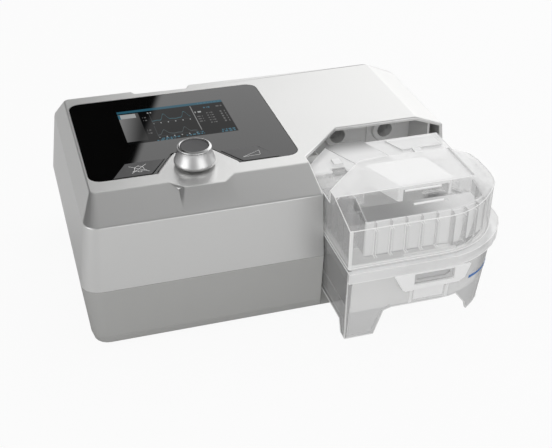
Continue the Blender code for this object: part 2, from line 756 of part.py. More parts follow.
def window_outline(gap=0.0):
    """The window's rectangle with round corners, or its pocket when a gap is given."""
    return rounded_rectangle(
        WINDOW_LEFT - gap, WINDOW_FRONT - gap, WINDOW_RIGHT + gap, WINDOW_BACK + gap,
        WINDOW_CORNER + gap)


def notch_outline():
    """Plan of the hose recess in the back, with ramped ends."""
    back = BODY_DEPTH + OVERRUN
    slope = NOTCH_RAMP / NOTCH_DEPTH * (back - PORT_FACE_Y)
    return [
        (NOTCH_LEFT - OVERRUN, back), (NOTCH_LEFT - OVERRUN + slope, PORT_FACE_Y),
        (NOTCH_RIGHT + OVERRUN - slope, PORT_FACE_Y), (NOTCH_RIGHT + OVERRUN, back),
    ]


def inlet_outline(grow):
    """Front view of the air inlet in the back wall."""
    return [
        (INLET_LEFT - grow, INLET_LOW - grow), (INLET_RIGHT + grow, INLET_LOW - grow),
        (INLET_RIGHT + grow, INLET_HIGH + grow), (INLET_LEFT - grow, INLET_HIGH + grow),
    ]


def back_wall_y(z):
    """Outer face of the back at a height below the ridge."""
    if z < SEAM_Z:
        share = (SEAM_Z - z) / (SEAM_Z - BODY_BOTTOM - ROLL_HEIGHT)
        return BODY_DEPTH - ROLL_INSET * share
    return BODY_DEPTH - RIDGE_INSET * (z - SEAM_Z) / (RIDGE_Z - SEAM_Z)


INLET_FACE_Y = back_wall_y(INLET_LOW - COVER_OVERLAP) - COVER_THICK - SEAT_GAP
JACK_FACE_Y = back_wall_y(JACK_Z - JACK_RADIUS) - THIN_WALL / 2
CARD_FACE_Y = back_wall_y(CARD_Z)
BAY_BLOCK_LEFT = BAY_LEFT - WALL
BAY_BLOCK_BACK = BAY_BACK + WALL
POWER_BOARD_LEFT = INLET_RIGHT + POWER_BOARD_FROM_INLET
POWER_BOARD_RIGHT = BODY_RIGHT - POWER_BOARD_FROM_RIGHT
POWER_BOARD_FRONT = BAY_BACK + POWER_BOARD_FROM_BAY
POWER_BOARD_BACK = BODY_DEPTH - POWER_BOARD_FROM_BACK


def housings():
    """The two moulded halves, with the bay, the recesses and every hole."""
    high = TOP_Z + OVERRUN
    far = BODY_RIGHT + OVERRUN
    bay_block = tool("bay_block", block(
        BAY_BLOCK_LEFT, -OVERRUN, -OVERRUN, far, BAY_BLOCK_BACK, high), MACHINE)
    bay_space = tool("bay_space", block(
        BAY_LEFT, -OVERRUN, -OVERRUN, far, BAY_BACK, high), MACHINE)
    notch = tool("notch", prism(notch_outline(), NOTCH_FLOOR_Z, high), MACHINE)
    notch_wall = tool("notch_wall", prism(
        [(x + side * WALL, y - WALL) for (x, y), side in zip(notch_outline(), (-1, -1, 1, 1))],
        NOTCH_FLOOR_Z - WALL, high), MACHINE)
    port_hole = tool("port_hole", rod(
        PORT_OUTER_RADIUS + SEAT_GAP, -NOTCH_DEPTH, NOTCH_DEPTH,
        (OUTLET_X, PORT_FACE_Y, PORT_Z), "y"), MACHINE)
    inlet_hole = tool("inlet_hole", prism(
        inlet_outline(0), BODY_DEPTH - 2 * OVERRUN - FILTER_THICK, BODY_DEPTH + OVERRUN, "y"), MACHINE)
    cover_seat = tool("cover_seat", prism(
        inlet_outline(COVER_OVERLAP + SLIDE_GAP), INLET_FACE_Y, BODY_DEPTH + OVERRUN, "y"), MACHINE)
    jack_hole = tool("jack_hole", rod(
        JACK_RADIUS + SEAT_GAP, -OVERRUN * 2, OVERRUN * 2, (JACK_X, BODY_DEPTH, JACK_Z), "y",
        SMALL_SIDES * 2), MACHINE)
    card_hole = tool("card_hole", block(
        CARD_X - CARD_WIDTH / 2 - SLIDE_GAP, BODY_DEPTH - 2 * OVERRUN,
        CARD_Z - CARD_THICK / 2 - SLIDE_GAP, CARD_X + CARD_WIDTH / 2 + SLIDE_GAP,
        BODY_DEPTH + OVERRUN, CARD_Z + CARD_THICK / 2 + SLIDE_GAP), MACHINE)

    upper_hollow = tool("upper_hollow", loft(upper_levels(WALL, SEAM_Z - OVERRUN)), MACHINE)
    shape(upper_hollow, "DIFFERENCE", bay_block, notch_wall)
    upper_bay = tool("upper_bay", loft(upper_levels(WALL, SEAM_Z - OVERRUN)), MACHINE)
    shape(upper_bay, "INTERSECT", bay_space)
    mouth = tool("bay_mouth", prism(bay_mouth(), SEAM_Z - OVERRUN, high), MACHINE)
    boss_wedge = tool("boss", boss(), MACHINE)
    pocket = tool("window_pocket", prism(
        window_outline(SEAT_GAP), TOP_Z - WINDOW_RECESS, high), MACHINE)
    shape(pocket, "DIFFERENCE", tool("pocket_island", prism(
        window_cutout(-SEAT_GAP), TOP_Z - WALL, high + OVERRUN), MACHINE))
    panel_hole = tool("panel_hole", block(
        PANEL_LEFT - PANEL_RIM - SEAT_GAP, PANEL_FRONT - PANEL_RIM - SEAT_GAP, UNDER_TOP - OVERRUN,
        PANEL_LEFT + PANEL_WIDTH + PANEL_RIM + SEAT_GAP,
        PANEL_FRONT + PANEL_DEPTH + PANEL_RIM + SEAT_GAP, high), MACHINE)
    mute_hole = tool("mute_hole", prism(
        key_outline(MUTE_FRONT_X, MUTE_BACK_X, KEY_GAP), UNDER_TOP - OVERRUN, high), MACHINE)
    ramp_hole = tool("ramp_hole", prism(
        key_outline(RAMP_FRONT_X, RAMP_BACK_X, KEY_GAP), UNDER_TOP - OVERRUN, high), MACHINE)
    knob_hole = tool("knob_hole", rod(
        BUSH_RADIUS + SEAT_GAP, UNDER_TOP - OVERRUN, high, (KNOB_X, KNOB_Y, 0), "z",
        SMALL_SIDES * 2), MACHINE)

    upper = solid("upper_housing", loft(upper_levels(0, SEAM_Z + SEAT_GAP / 2)), SILVER, MACHINE)
    shape(upper, "UNION", boss_wedge)
    shape(upper, "DIFFERENCE", upper_hollow, upper_bay, mouth, notch, port_hole,
          pocket, panel_hole, mute_hole, ramp_hole, knob_hole)
    shape(upper, "UNION", board_posts())

    lower_hollow = tool("lower_hollow", loft(lower_levels(WALL, SEAM_Z + OVERRUN)), MACHINE)
    shape(lower_hollow, "DIFFERENCE", bay_block, notch_wall)
    lower_bay = tool("lower_bay", loft(lower_levels(WALL, SEAM_Z + OVERRUN)), MACHINE)
    shape(lower_bay, "INTERSECT", bay_space)
    lower_mouth = tool("lower_mouth", block(
        BAY_LEFT, -OVERRUN, FLOOR_TOP, far, BAY_ROOF_Y, SEAM_Z + OVERRUN), MACHINE)
    floor_trim = tool("floor_trim", block(
        BODY_RIGHT - BAY_FLOOR_RIGHT, -OVERRUN, -OVERRUN, far, BAY_ROOF_Y, SEAM_Z), MACHINE)
    foot_seats = tool("foot_seats", joined([
        rod(FOOT_RADIUS + SEAT_GAP, -OVERRUN, BODY_BOTTOM + FOOT_PROUD, (x, y, 0), "z",
            SMALL_SIDES * 2) for x, y in foot_places()]), MACHINE)
    lower = solid(
        "lower_housing", loft(lower_levels(0, SEAM_Z - SEAT_GAP / 2)), SILVER, MACHINE)
    shape(lower, "DIFFERENCE", lower_hollow, lower_bay, lower_mouth, floor_trim, notch,
          cover_seat, inlet_hole, jack_hole, card_hole, foot_seats)
    shape(lower, "UNION", power_board_feet(), card_stand())


def foot_places():
    """The four feet: the front right one stands under the bay's floor."""
    left = BODY_LEFT + FOOT_INSET
    back = BODY_DEPTH - FOOT_INSET
    return [
        (left, FOOT_INSET), (BODY_RIGHT - BAY_FLOOR_RIGHT - FOOT_RADIUS * 2, FOOT_INSET),
        (left, back), (BODY_RIGHT - FOOT_INSET, back),
    ]


def feet():
    """Four round rubber feet in their seats."""
    for number, (x, y) in enumerate(foot_places(), 1):
        solid(f"rubber_foot_{number}", rod(
            FOOT_RADIUS, 0, BODY_BOTTOM + FOOT_PROUD - SEAT_GAP, (x, y, 0), "z",
            SMALL_SIDES * 2), RUBBER, MACHINE)


# Display, keys and knob

def display():
    """The black window, the panel under it and the main board that carries both."""
    window = solid("display_window", prism(
        window_outline(), TOP_Z - WINDOW_RECESS + SEAT_GAP / 2,
        TOP_Z - WINDOW_RECESS + SEAT_GAP / 2 + WINDOW_THICK), BLACK_GLASS, MACHINE)
    high = TOP_Z + OVERRUN
    island = tool("window_island", prism(window_cutout(SEAT_GAP), UNDER_TOP, high), MACHINE)
    mute = tool("window_mute", prism(
        key_outline(MUTE_FRONT_X, MUTE_BACK_X, KEY_GAP), UNDER_TOP, high), MACHINE)
    ramp = tool("window_ramp", prism(
        key_outline(RAMP_FRONT_X, RAMP_BACK_X, KEY_GAP), UNDER_TOP, high), MACHINE)
    shape(window, "DIFFERENCE", island, mute, ramp)

    panel_top = TOP_Z - WINDOW_RECESS
    panel_low = BOARD_Z + BOARD_THICK + SEAT_GAP
    panel = solid("lcd_module", block(
        PANEL_LEFT - PANEL_RIM, PANEL_FRONT - PANEL_RIM, panel_low,
        PANEL_LEFT + PANEL_WIDTH + PANEL_RIM, PANEL_FRONT + PANEL_DEPTH + PANEL_RIM,
        panel_top), LCD_FINISH, MACHINE)
    sunk = tool("panel_face", block(
        PANEL_LEFT, PANEL_FRONT, panel_top - SEAT_GAP, PANEL_LEFT + PANEL_WIDTH,
        PANEL_FRONT + PANEL_DEPTH, high), MACHINE)
    shape(panel, "DIFFERENCE", sunk)

    board = solid("main_board", block(
        BOARD_LEFT, BOARD_FRONT, BOARD_Z, BOARD_RIGHT, BOARD_BACK, BOARD_Z + BOARD_THICK),
        BOARD_GREEN, MACHINE)
    holes = tool("board_holes", joined([
        rod(SCREW_RADIUS / 2 + SEAT_GAP, BOARD_Z - OVERRUN, BOARD_Z + OVERRUN, (x, y, 0), "z",
            SMALL_SIDES) for x, y in board_screw_places()]), MACHINE)
    encoder_hole = tool("encoder_hole", rod(
        SHAFT_RADIUS, BOARD_Z - OVERRUN, BOARD_Z + OVERRUN, (KNOB_X, KNOB_Y, 0), "z",
        SMALL_SIDES), MACHINE)
    shape(board, "DIFFERENCE", holes, encoder_hole)


def board_screw_places():
    """Where the main board's four screws and posts stand."""
    return [
        (x, y) for y in (BOARD_FRONT + POST_EDGE, BOARD_BACK - POST_EDGE)
        for x in (BOARD_LEFT + POST_EDGE, BOARD_RIGHT - POST_EDGE)
    ]


def board_posts():
    """The four moulded screw posts that the main board hangs from."""
    low = BOARD_Z + BOARD_THICK + SEAT_GAP
    return tool("board_posts", joined([
        ring(POST_RADIUS, SCREW_RADIUS / 2, low, UNDER_TOP + SEAT_GAP, (x, y, 0))
        for x, y in board_screw_places()
    ]), MACHINE)


def board_screws():
    """Pan-head screws from below the board up into the posts."""
    head_low = BOARD_Z - SEAT_GAP - SCREW_RADIUS / 2
    shank = SCREW_RADIUS / 2 - SEAT_GAP
    for number, (x, y) in enumerate(board_screw_places(), 1):
        solid(f"board_screw_{number}", turned([
            (0, head_low), (SCREW_RADIUS, head_low), (SCREW_RADIUS, BOARD_Z - SEAT_GAP),
            (shank, BOARD_Z - SEAT_GAP), (shank, UNDER_TOP - SEAT_GAP), (0, UNDER_TOP - SEAT_GAP),
        ], (x, y, 0), "z", SMALL_SIDES), STEEL, MACHINE)


def power_board_feet():
    """Stand-offs moulded on the floor under the power board."""
    edge = POST_RADIUS * 2
    return tool("board_standoffs", joined([
        rod(POST_RADIUS, FLOOR_TOP - SEAT_GAP, POWER_BOARD_Z - SEAT_GAP, (x, y, 0), "z", SMALL_SIDES)
        for x in (POWER_BOARD_LEFT + edge, POWER_BOARD_RIGHT - edge)
        for y in (POWER_BOARD_FRONT + edge, POWER_BOARD_BACK - edge)
    ]), MACHINE)


def card_stand():
    """The block moulded on the floor under the memory card's socket."""
    half = CARD_WIDTH / 4
    socket_back = BODY_DEPTH - ROLL_INSET - 2 * WALL
    tall = CARD_THICK / 2 + SLIDE_GAP + CARD_SOCKET_WALL
    return tool("card_stand", block(
        CARD_X - half, CARD_FACE_Y - CARD_LENGTH + OVERRUN, FLOOR_TOP - SEAT_GAP,
        CARD_X + half, socket_back - OVERRUN, CARD_Z - tall - SEAT_GAP), MACHINE)


def key(name, front_x, back_x):
    """A trapezium key with its stem, on its own press axis, and the switch under it."""
    middle_x = (sum(front_x) + sum(back_x)) / (len(front_x) + len(back_x))
    middle_y = (KEY_FRONT + KEY_BACK) / 2
    switch_top = BOARD_Z + BOARD_THICK + SEAT_GAP + SWITCH_HEIGHT
    body = solid(name, prism(
        key_outline(front_x, back_x), TOP_Z + KEY_PROUD - KEY_HEIGHT, TOP_Z + KEY_PROUD),
        KEY_FINISH, MACHINE, (middle_x, middle_y, TOP_Z))
    stem = tool(name + "_stem", rod(
        KEY_STEM_RADIUS, switch_top + KEY_TRAVEL + SEAT_GAP, TOP_Z - KEY_HEIGHT / 2,
        (middle_x, middle_y, 0), "z", SMALL_SIDES), MACHINE)
    shape(body, "UNION", stem)
    half = SWITCH_WIDTH / 2
    solid(name.replace("key", "switch"), block(
        middle_x - half, middle_y - half, BOARD_Z + BOARD_THICK + SEAT_GAP,
        middle_x + half, middle_y + half, switch_top), DARK_PLASTIC, MACHINE)


def keys():
    """The mute key on the left and the ramp key on the right of the knob."""
    key("mute_key", MUTE_FRONT_X, MUTE_BACK_X)
    key("ramp_key", RAMP_FRONT_X, RAMP_BACK_X)


def knob():
    """The bell-shaped knob, its dark top disc, the encoder shaft and the encoder."""
    base_z = TOP_Z + KNOB_LIFT
    top_z = base_z + KNOB_HEIGHT
    centre = (KNOB_X, KNOB_Y, 0)
    origin = (KNOB_X, KNOB_Y, base_z)
    skirt_z = base_z + KNOB_SKIRT_HEIGHT
    sink = top_z - KNOB_DISC_SINK - KNOB_DISC_THICK
    flare = []
    steps = CORNER_STEPS + 1
    rise = (top_z - KNOB_WALL - skirt_z)
    for step in range(steps + 1):
        share = step / steps
        curve = (1 - share) ** KNOB_FLARE_POWER
        flare.append((
            KNOB_WAIST_RADIUS + (KNOB_BASE_RADIUS - KNOB_WAIST_RADIUS) * curve,
            skirt_z + rise * share))
    shaft_top = base_z + KNOB_HEIGHT / 2
    outside = (
        [(SHAFT_RADIUS + SEAT_GAP, base_z), (KNOB_BASE_RADIUS, base_z)] + flare
        + [(KNOB_RIM_RADIUS, top_z - KNOB_WALL / 2), (KNOB_RIM_RADIUS - KNOB_WALL / 2, top_z),
           (KNOB_DISC_RADIUS + SEAT_GAP, top_z), (KNOB_DISC_RADIUS + SEAT_GAP, sink - SEAT_GAP),
           (0, sink - SEAT_GAP), (0, shaft_top + SEAT_GAP),
           (SHAFT_RADIUS + SEAT_GAP, shaft_top + SEAT_GAP)]
    )
    solid("knob", turned(outside, centre), CHROME, MACHINE, origin, smooth=True)
    solid("knob_disc", rod(KNOB_DISC_RADIUS, sink, sink + KNOB_DISC_THICK, centre),
          DARK_PLASTIC, MACHINE, (KNOB_X, KNOB_Y, sink))

    encoder_low = BOARD_Z + BOARD_THICK + SEAT_GAP
    bush_top = TOP_Z + SEAT_GAP
    shaft_low = encoder_low + KNOB_TRAVEL + 2 * SEAT_GAP
    flange_top = encoder_low + ENCODER_HEIGHT - THIN_WALL - SEAT_GAP
    flange_low = flange_top - THIN_WALL
    shaft = solid("encoder_shaft", turned([
        (0, shaft_low), (SHAFT_RADIUS, shaft_low), (SHAFT_RADIUS, shaft_top), (0, shaft_top),
    ], centre, "z", SMALL_SIDES * 2), STEEL, MACHINE, origin)
    flat = tool("shaft_flat", block(
        KNOB_X + SHAFT_RADIUS - SHAFT_FLAT, KNOB_Y - SHAFT_RADIUS, bush_top + KNOB_TRAVEL,
        KNOB_X + SHAFT_RADIUS + OVERRUN, KNOB_Y + SHAFT_RADIUS, shaft_top + OVERRUN), MACHINE)
    shape(shaft, "DIFFERENCE", flat)
    half = ENCODER_WIDTH / 2
    encoder = solid("encoder", block(
        KNOB_X - half, KNOB_Y - half, encoder_low, KNOB_X + half, KNOB_Y + half,
        encoder_low + ENCODER_HEIGHT), STEEL, MACHINE)
    shape(encoder, "UNION", tool("encoder_bush", rod(
        BUSH_RADIUS, encoder_low + ENCODER_HEIGHT / 2, bush_top, centre, "z",
        SMALL_SIDES * 2), MACHINE))
    sleeve_gap = SHAFT_RADIUS + SEAT_GAP + SLIDE_GAP
    shape(encoder, "DIFFERENCE", tool("encoder_bore", rod(
        sleeve_gap, shaft_low - KNOB_TRAVEL - SEAT_GAP, bush_top + OVERRUN, centre, "z",
        SMALL_SIDES * 2), MACHINE))
    solid("encoder_plunger", ring(
        sleeve_gap - SEAT_GAP / 3, SHAFT_RADIUS + SEAT_GAP / 3, flange_low, flange_top, centre,
        SMALL_SIDES * 2), DARK_PLASTIC, MACHINE, origin)


# Blower

def scroll_outline(grow):
    """A scroll that widens once round, with its tangent run towards the nozzle."""
    points = []
    for step in range(SCROLL_STEPS):
        share = step / SCROLL_STEPS
        angle = math.tau * share
        radius = SCROLL_RADIUS + SCROLL_GROWTH * share + grow
        points.append((BLOWER_X + radius * math.cos(angle), BLOWER_Y + radius * math.sin(angle)))
    return points


BLOWER_X = (BODY_LEFT + WALL + BAY_BLOCK_LEFT) / 2 - SCROLL_GROWTH / 4
BLOWER_Y = BODY_DEPTH - BLOWER_FROM_BACK
NOZZLE_X = BLOWER_X + SCROLL_RADIUS - 2 * NOZZLE_RADIUS
NOZZLE_Z = BLOWER_Z + SCROLL_HEIGHT / 2


def blower():
    """Scroll halves, wheel, spindle, motor and rubber mounts."""
    centre = (BLOWER_X, BLOWER_Y, 0)
    split = BLOWER_Z + SCROLL_HEIGHT / 2
    top = BLOWER_Z + SCROLL_HEIGHT
    inner_low = BLOWER_Z + THIN_WALL
    inner_high = top - THIN_WALL
    nozzle_y = BLOWER_Y + SCROLL_RADIUS + SCROLL_GROWTH
    bore = tool("nozzle_bore", rod(
        NOZZLE_RADIUS, BLOWER_Y, nozzle_y + OVERRUN, (NOZZLE_X, 0, NOZZLE_Z), "y", SMALL_SIDES),
        MACHINE)
    spouts = {}
    for half, low, high in (("lower", BLOWER_Z, split - SEAT_GAP / 2),
                            ("upper", split + SEAT_GAP / 2, top)):
        spouts[half] = tool(f"spout_{half}", rod(
            NOZZLE_RADIUS + THIN_WALL, BLOWER_Y, nozzle_y, (NOZZLE_X, 0, NOZZLE_Z), "y",
            SMALL_SIDES), MACHINE)
        shape(spouts[half], "INTERSECT", tool(f"spout_{half}_half", block(
            BLOWER_X, BLOWER_Y - OVERRUN, low, NOZZLE_X + SCROLL_RADIUS, nozzle_y + OVERRUN, high),
            MACHINE))
    hollow = tool("scroll_hollow", prism(
        scroll_outline(-THIN_WALL), inner_low, inner_high), MACHINE)
    eye = tool("scroll_eye", rod(EYE_RADIUS, split, top + OVERRUN, centre), MACHINE)
    spindle_hole = tool("spindle_hole", rod(
        SPINDLE_RADIUS * 2, BLOWER_Z - OVERRUN, split, centre, "z", SMALL_SIDES), MACHINE)
    lower = solid("scroll_lower", prism(
        scroll_outline(0), BLOWER_Z, split - SEAT_GAP / 2), DARK_PLASTIC, MACHINE)
    shape(lower, "UNION", spouts["lower"])
    shape(lower, "DIFFERENCE", hollow, bore, spindle_hole)
    upper = solid("scroll_upper", prism(
        scroll_outline(0), split + SEAT_GAP / 2, top), DARK_PLASTIC, MACHINE)
    shape(upper, "UNION", spouts["upper"])
    shape(upper, "DIFFERENCE", hollow, bore, eye)

    motor_low = inner_low + SEAT_GAP
    motor_high = motor_low + MOTOR_HEIGHT
    solid("motor", ring(
        MOTOR_RADIUS, SPINDLE_RADIUS + SEAT_GAP, motor_low, motor_high, centre, SMALL_SIDES * 2),
        STEEL, MACHINE, smooth=True)
    wheel_low = motor_high + SLIDE_GAP
    hub_top = wheel_low + WHEEL_HEIGHT
    wheel = solid("impeller", turned([
        (0, motor_low), (SPINDLE_RADIUS, motor_low), (SPINDLE_RADIUS, wheel_low),
        (WHEEL_RADIUS, wheel_low), (WHEEL_RADIUS, wheel_low + WHEEL_DISC),
        (EYE_RADIUS / 2, wheel_low + 2 * WHEEL_DISC), (SPINDLE_RADIUS * 2, hub_top), (0, hub_top),
    ], centre), WHITE_PLASTIC, MACHINE, (BLOWER_X, BLOWER_Y, wheel_low))
    blades = []
    for index in range(BLADE_COUNT):
        turn = math.tau * index / BLADE_COUNT
        root, tip = EYE_RADIUS / 2, WHEEL_RADIUS - BLADE_THICK
        sweep = math.tau / BLADE_COUNT
        spine = [(root + (tip - root) * run, turn + sweep * run) for run in BLADE_RUN_SHARES]
        behind = [(r, a + BLADE_THICK / r) for r, a in reversed(spine)]
        outline = [
            (BLOWER_X + r * math.cos(a), BLOWER_Y + r * math.sin(a)) for r, a in spine + behind]
        blades.append(prism(outline, wheel_low + WHEEL_DISC / 2, hub_top - WHEEL_DISC))
    shape(wheel, "UNION", tool("blades", joined(blades), MACHINE))

    for number, share in enumerate(MOUNT_TURN_SHARES, 1):
        place = (BLOWER_X + MOUNT_SPREAD * math.cos(math.tau * share),
                 BLOWER_Y + MOUNT_SPREAD * math.sin(math.tau * share), 0)
        solid(f"blower_mount_{number}", rod(
            MOUNT_RADIUS, FLOOR_TOP + SEAT_GAP, BLOWER_Z - SEAT_GAP, place, "z", SMALL_SIDES),
            RUBBER, MACHINE)


# Air path

def air_path():
    """Outlet port, ducts, bay liner with its two ports and seals."""
    outer, inner = PORT_OUTER_RADIUS, PORT_BORE_RADIUS
    inside = PORT_FACE_Y - WALL - SEAT_GAP
    solid("outlet_port", turned([
        (inner, inside - PORT_FLANGE_THICK), (PORT_FLANGE_RADIUS, inside - PORT_FLANGE_THICK),
        (PORT_FLANGE_RADIUS, inside), (outer, inside), (outer, PORT_FACE_Y + OVERRUN),
        (outer - PORT_TAPER, FULL_BACK_Y), (inner, FULL_BACK_Y),
    ], (OUTLET_X, 0, PORT_Z), "y"), GREY_PLASTIC, MACHINE, (OUTLET_X, PORT_FACE_Y, PORT_Z),
        smooth=True)

    duct_inner = DUCT_RADIUS - DUCT_WALL
    liner_back = BAY_BLOCK_BACK + SEAT_GAP
    behind = liner_back + DUCT_RADIUS + SLIDE_GAP
    port_join = inside - PORT_FLANGE_THICK - SEAT_GAP
    nozzle_end = BLOWER_Y + SCROLL_RADIUS + SCROLL_GROWTH + SEAT_GAP
    rises = [NOZZLE_Z + (BAY_PORT_Z - NOZZLE_Z) * share for share in DUCT_RISE_SHARES]
    supply = smooth_route([
        (NOZZLE_X, nozzle_end, NOZZLE_Z), (NOZZLE_X, nozzle_end + OVERRUN, NOZZLE_Z),
        (NOZZLE_X + 2 * DUCT_RADIUS, behind + DUCT_RADIUS, rises[0]),
        (BAY_LEFT, behind + DUCT_RADIUS / 2, rises[1]),
        (SUPPLY_PORT_X - 2 * DUCT_RADIUS, behind + DUCT_RADIUS / 2, rises[2]),
        (SUPPLY_PORT_X, liner_back + 2 * OVERRUN, BAY_PORT_Z),
        (SUPPLY_PORT_X, liner_back, BAY_PORT_Z),
    ], FEW_STEPS)
    solid("supply_duct", pipe(supply, DUCT_RADIUS, duct_inner), SILICONE, MACHINE, smooth=True)
    back_run = port_join - DUCT_RADIUS - OVERRUN / 2
    outgoing = smooth_route([
        (RETURN_PORT_X, liner_back, BAY_PORT_Z), (RETURN_PORT_X, liner_back + 2 * OVERRUN, BAY_PORT_Z),
        (RETURN_PORT_X - DUCT_RADIUS, back_run - DUCT_RADIUS / 2, BAY_PORT_Z),
        (SUPPLY_PORT_X, back_run, BAY_PORT_Z),
        (INLET_LEFT + DUCT_RADIUS, back_run, PORT_Z + OVERRUN / 2),
        (OUTLET_X + 2 * DUCT_RADIUS, back_run, PORT_Z),
        (OUTLET_X, port_join - OVERRUN, PORT_Z), (OUTLET_X, port_join, PORT_Z),
    ], FEW_STEPS)
    solid("return_duct", pipe(outgoing, DUCT_RADIUS, duct_inner), SILICONE, MACHINE, smooth=True)

    back = BAY_BACK - SEAT_GAP
    front = back - LINER_WALL
    right_out = LINER_RIGHT + LINER_WALL
    liner_low = FLOOR_TOP + SEAT_GAP
    side_front = TANK_STEP_BACK + SLIDE_GAP + SEAT_GAP
    liner = solid("bay_liner", prism([
        (BAY_LEFT + SEAT_GAP, front), (LINER_RIGHT, front), (LINER_RIGHT, side_front),
        (right_out, side_front), (right_out, back), (BAY_LEFT + SEAT_GAP, back),
    ], liner_low, UNDER_TOP), GREY_PLASTIC, MACHINE)
    shape(liner, "INTERSECT", tool("liner_form", loft(upper_levels(WALL + SEAT_GAP, 0)), MACHINE))
    frame = tool("port_frame", prism(rounded_rectangle(
        FRAME_LEFT, FRAME_BOTTOM, LINER_RIGHT - THIN_WALL, FRAME_TOP, TOP_CORNER),
        front - FRAME_PROUD, back - LINER_WALL / 2, "y"), MACHINE)
    shape(liner, "UNION", frame)
    holes = tool("liner_holes", joined([
        rod(BAY_PORT_RADIUS + SEAT_GAP, -OVERRUN * 2, OVERRUN, (x, BAY_BACK, BAY_PORT_Z), "y",
            SMALL_SIDES * 2) for x in (SUPPLY_PORT_X, RETURN_PORT_X)]), MACHINE)
    shape(liner, "DIFFERENCE", holes)
    wall_holes = tool("wall_holes", joined([
        rod(BAY_PORT_RADIUS + SEAT_GAP, -OVERRUN, OVERRUN * 2, (x, BAY_BACK, BAY_PORT_Z), "y",
            SMALL_SIDES * 2) for x in (SUPPLY_PORT_X, RETURN_PORT_X)]), MACHINE)
    shape(bpy.data.objects["upper_housing"], "DIFFERENCE", wall_holes)

    for name, x, seat in (("supply_seal", SUPPLY_PORT_X, front),
                          ("return_seal", RETURN_PORT_X, front - FRAME_PROUD)):
        face = seat - SEAT_GAP
        tip = TANK_BACK + SEAT_GAP
        neck = BAY_PORT_RADIUS
        solid(name, turned([
            (neck - THIN_WALL, tip), (SEAL_RADIUS - THIN_WALL / 2, tip),
            (SEAL_RADIUS, face), (neck, face), (neck, back + WALL),
            (neck - THIN_WALL, back + WALL),
        ], (x, 0, BAY_PORT_Z), "y", SMALL_SIDES * 2), SILICONE, MACHINE, smooth=True)


# Inlet, power and card

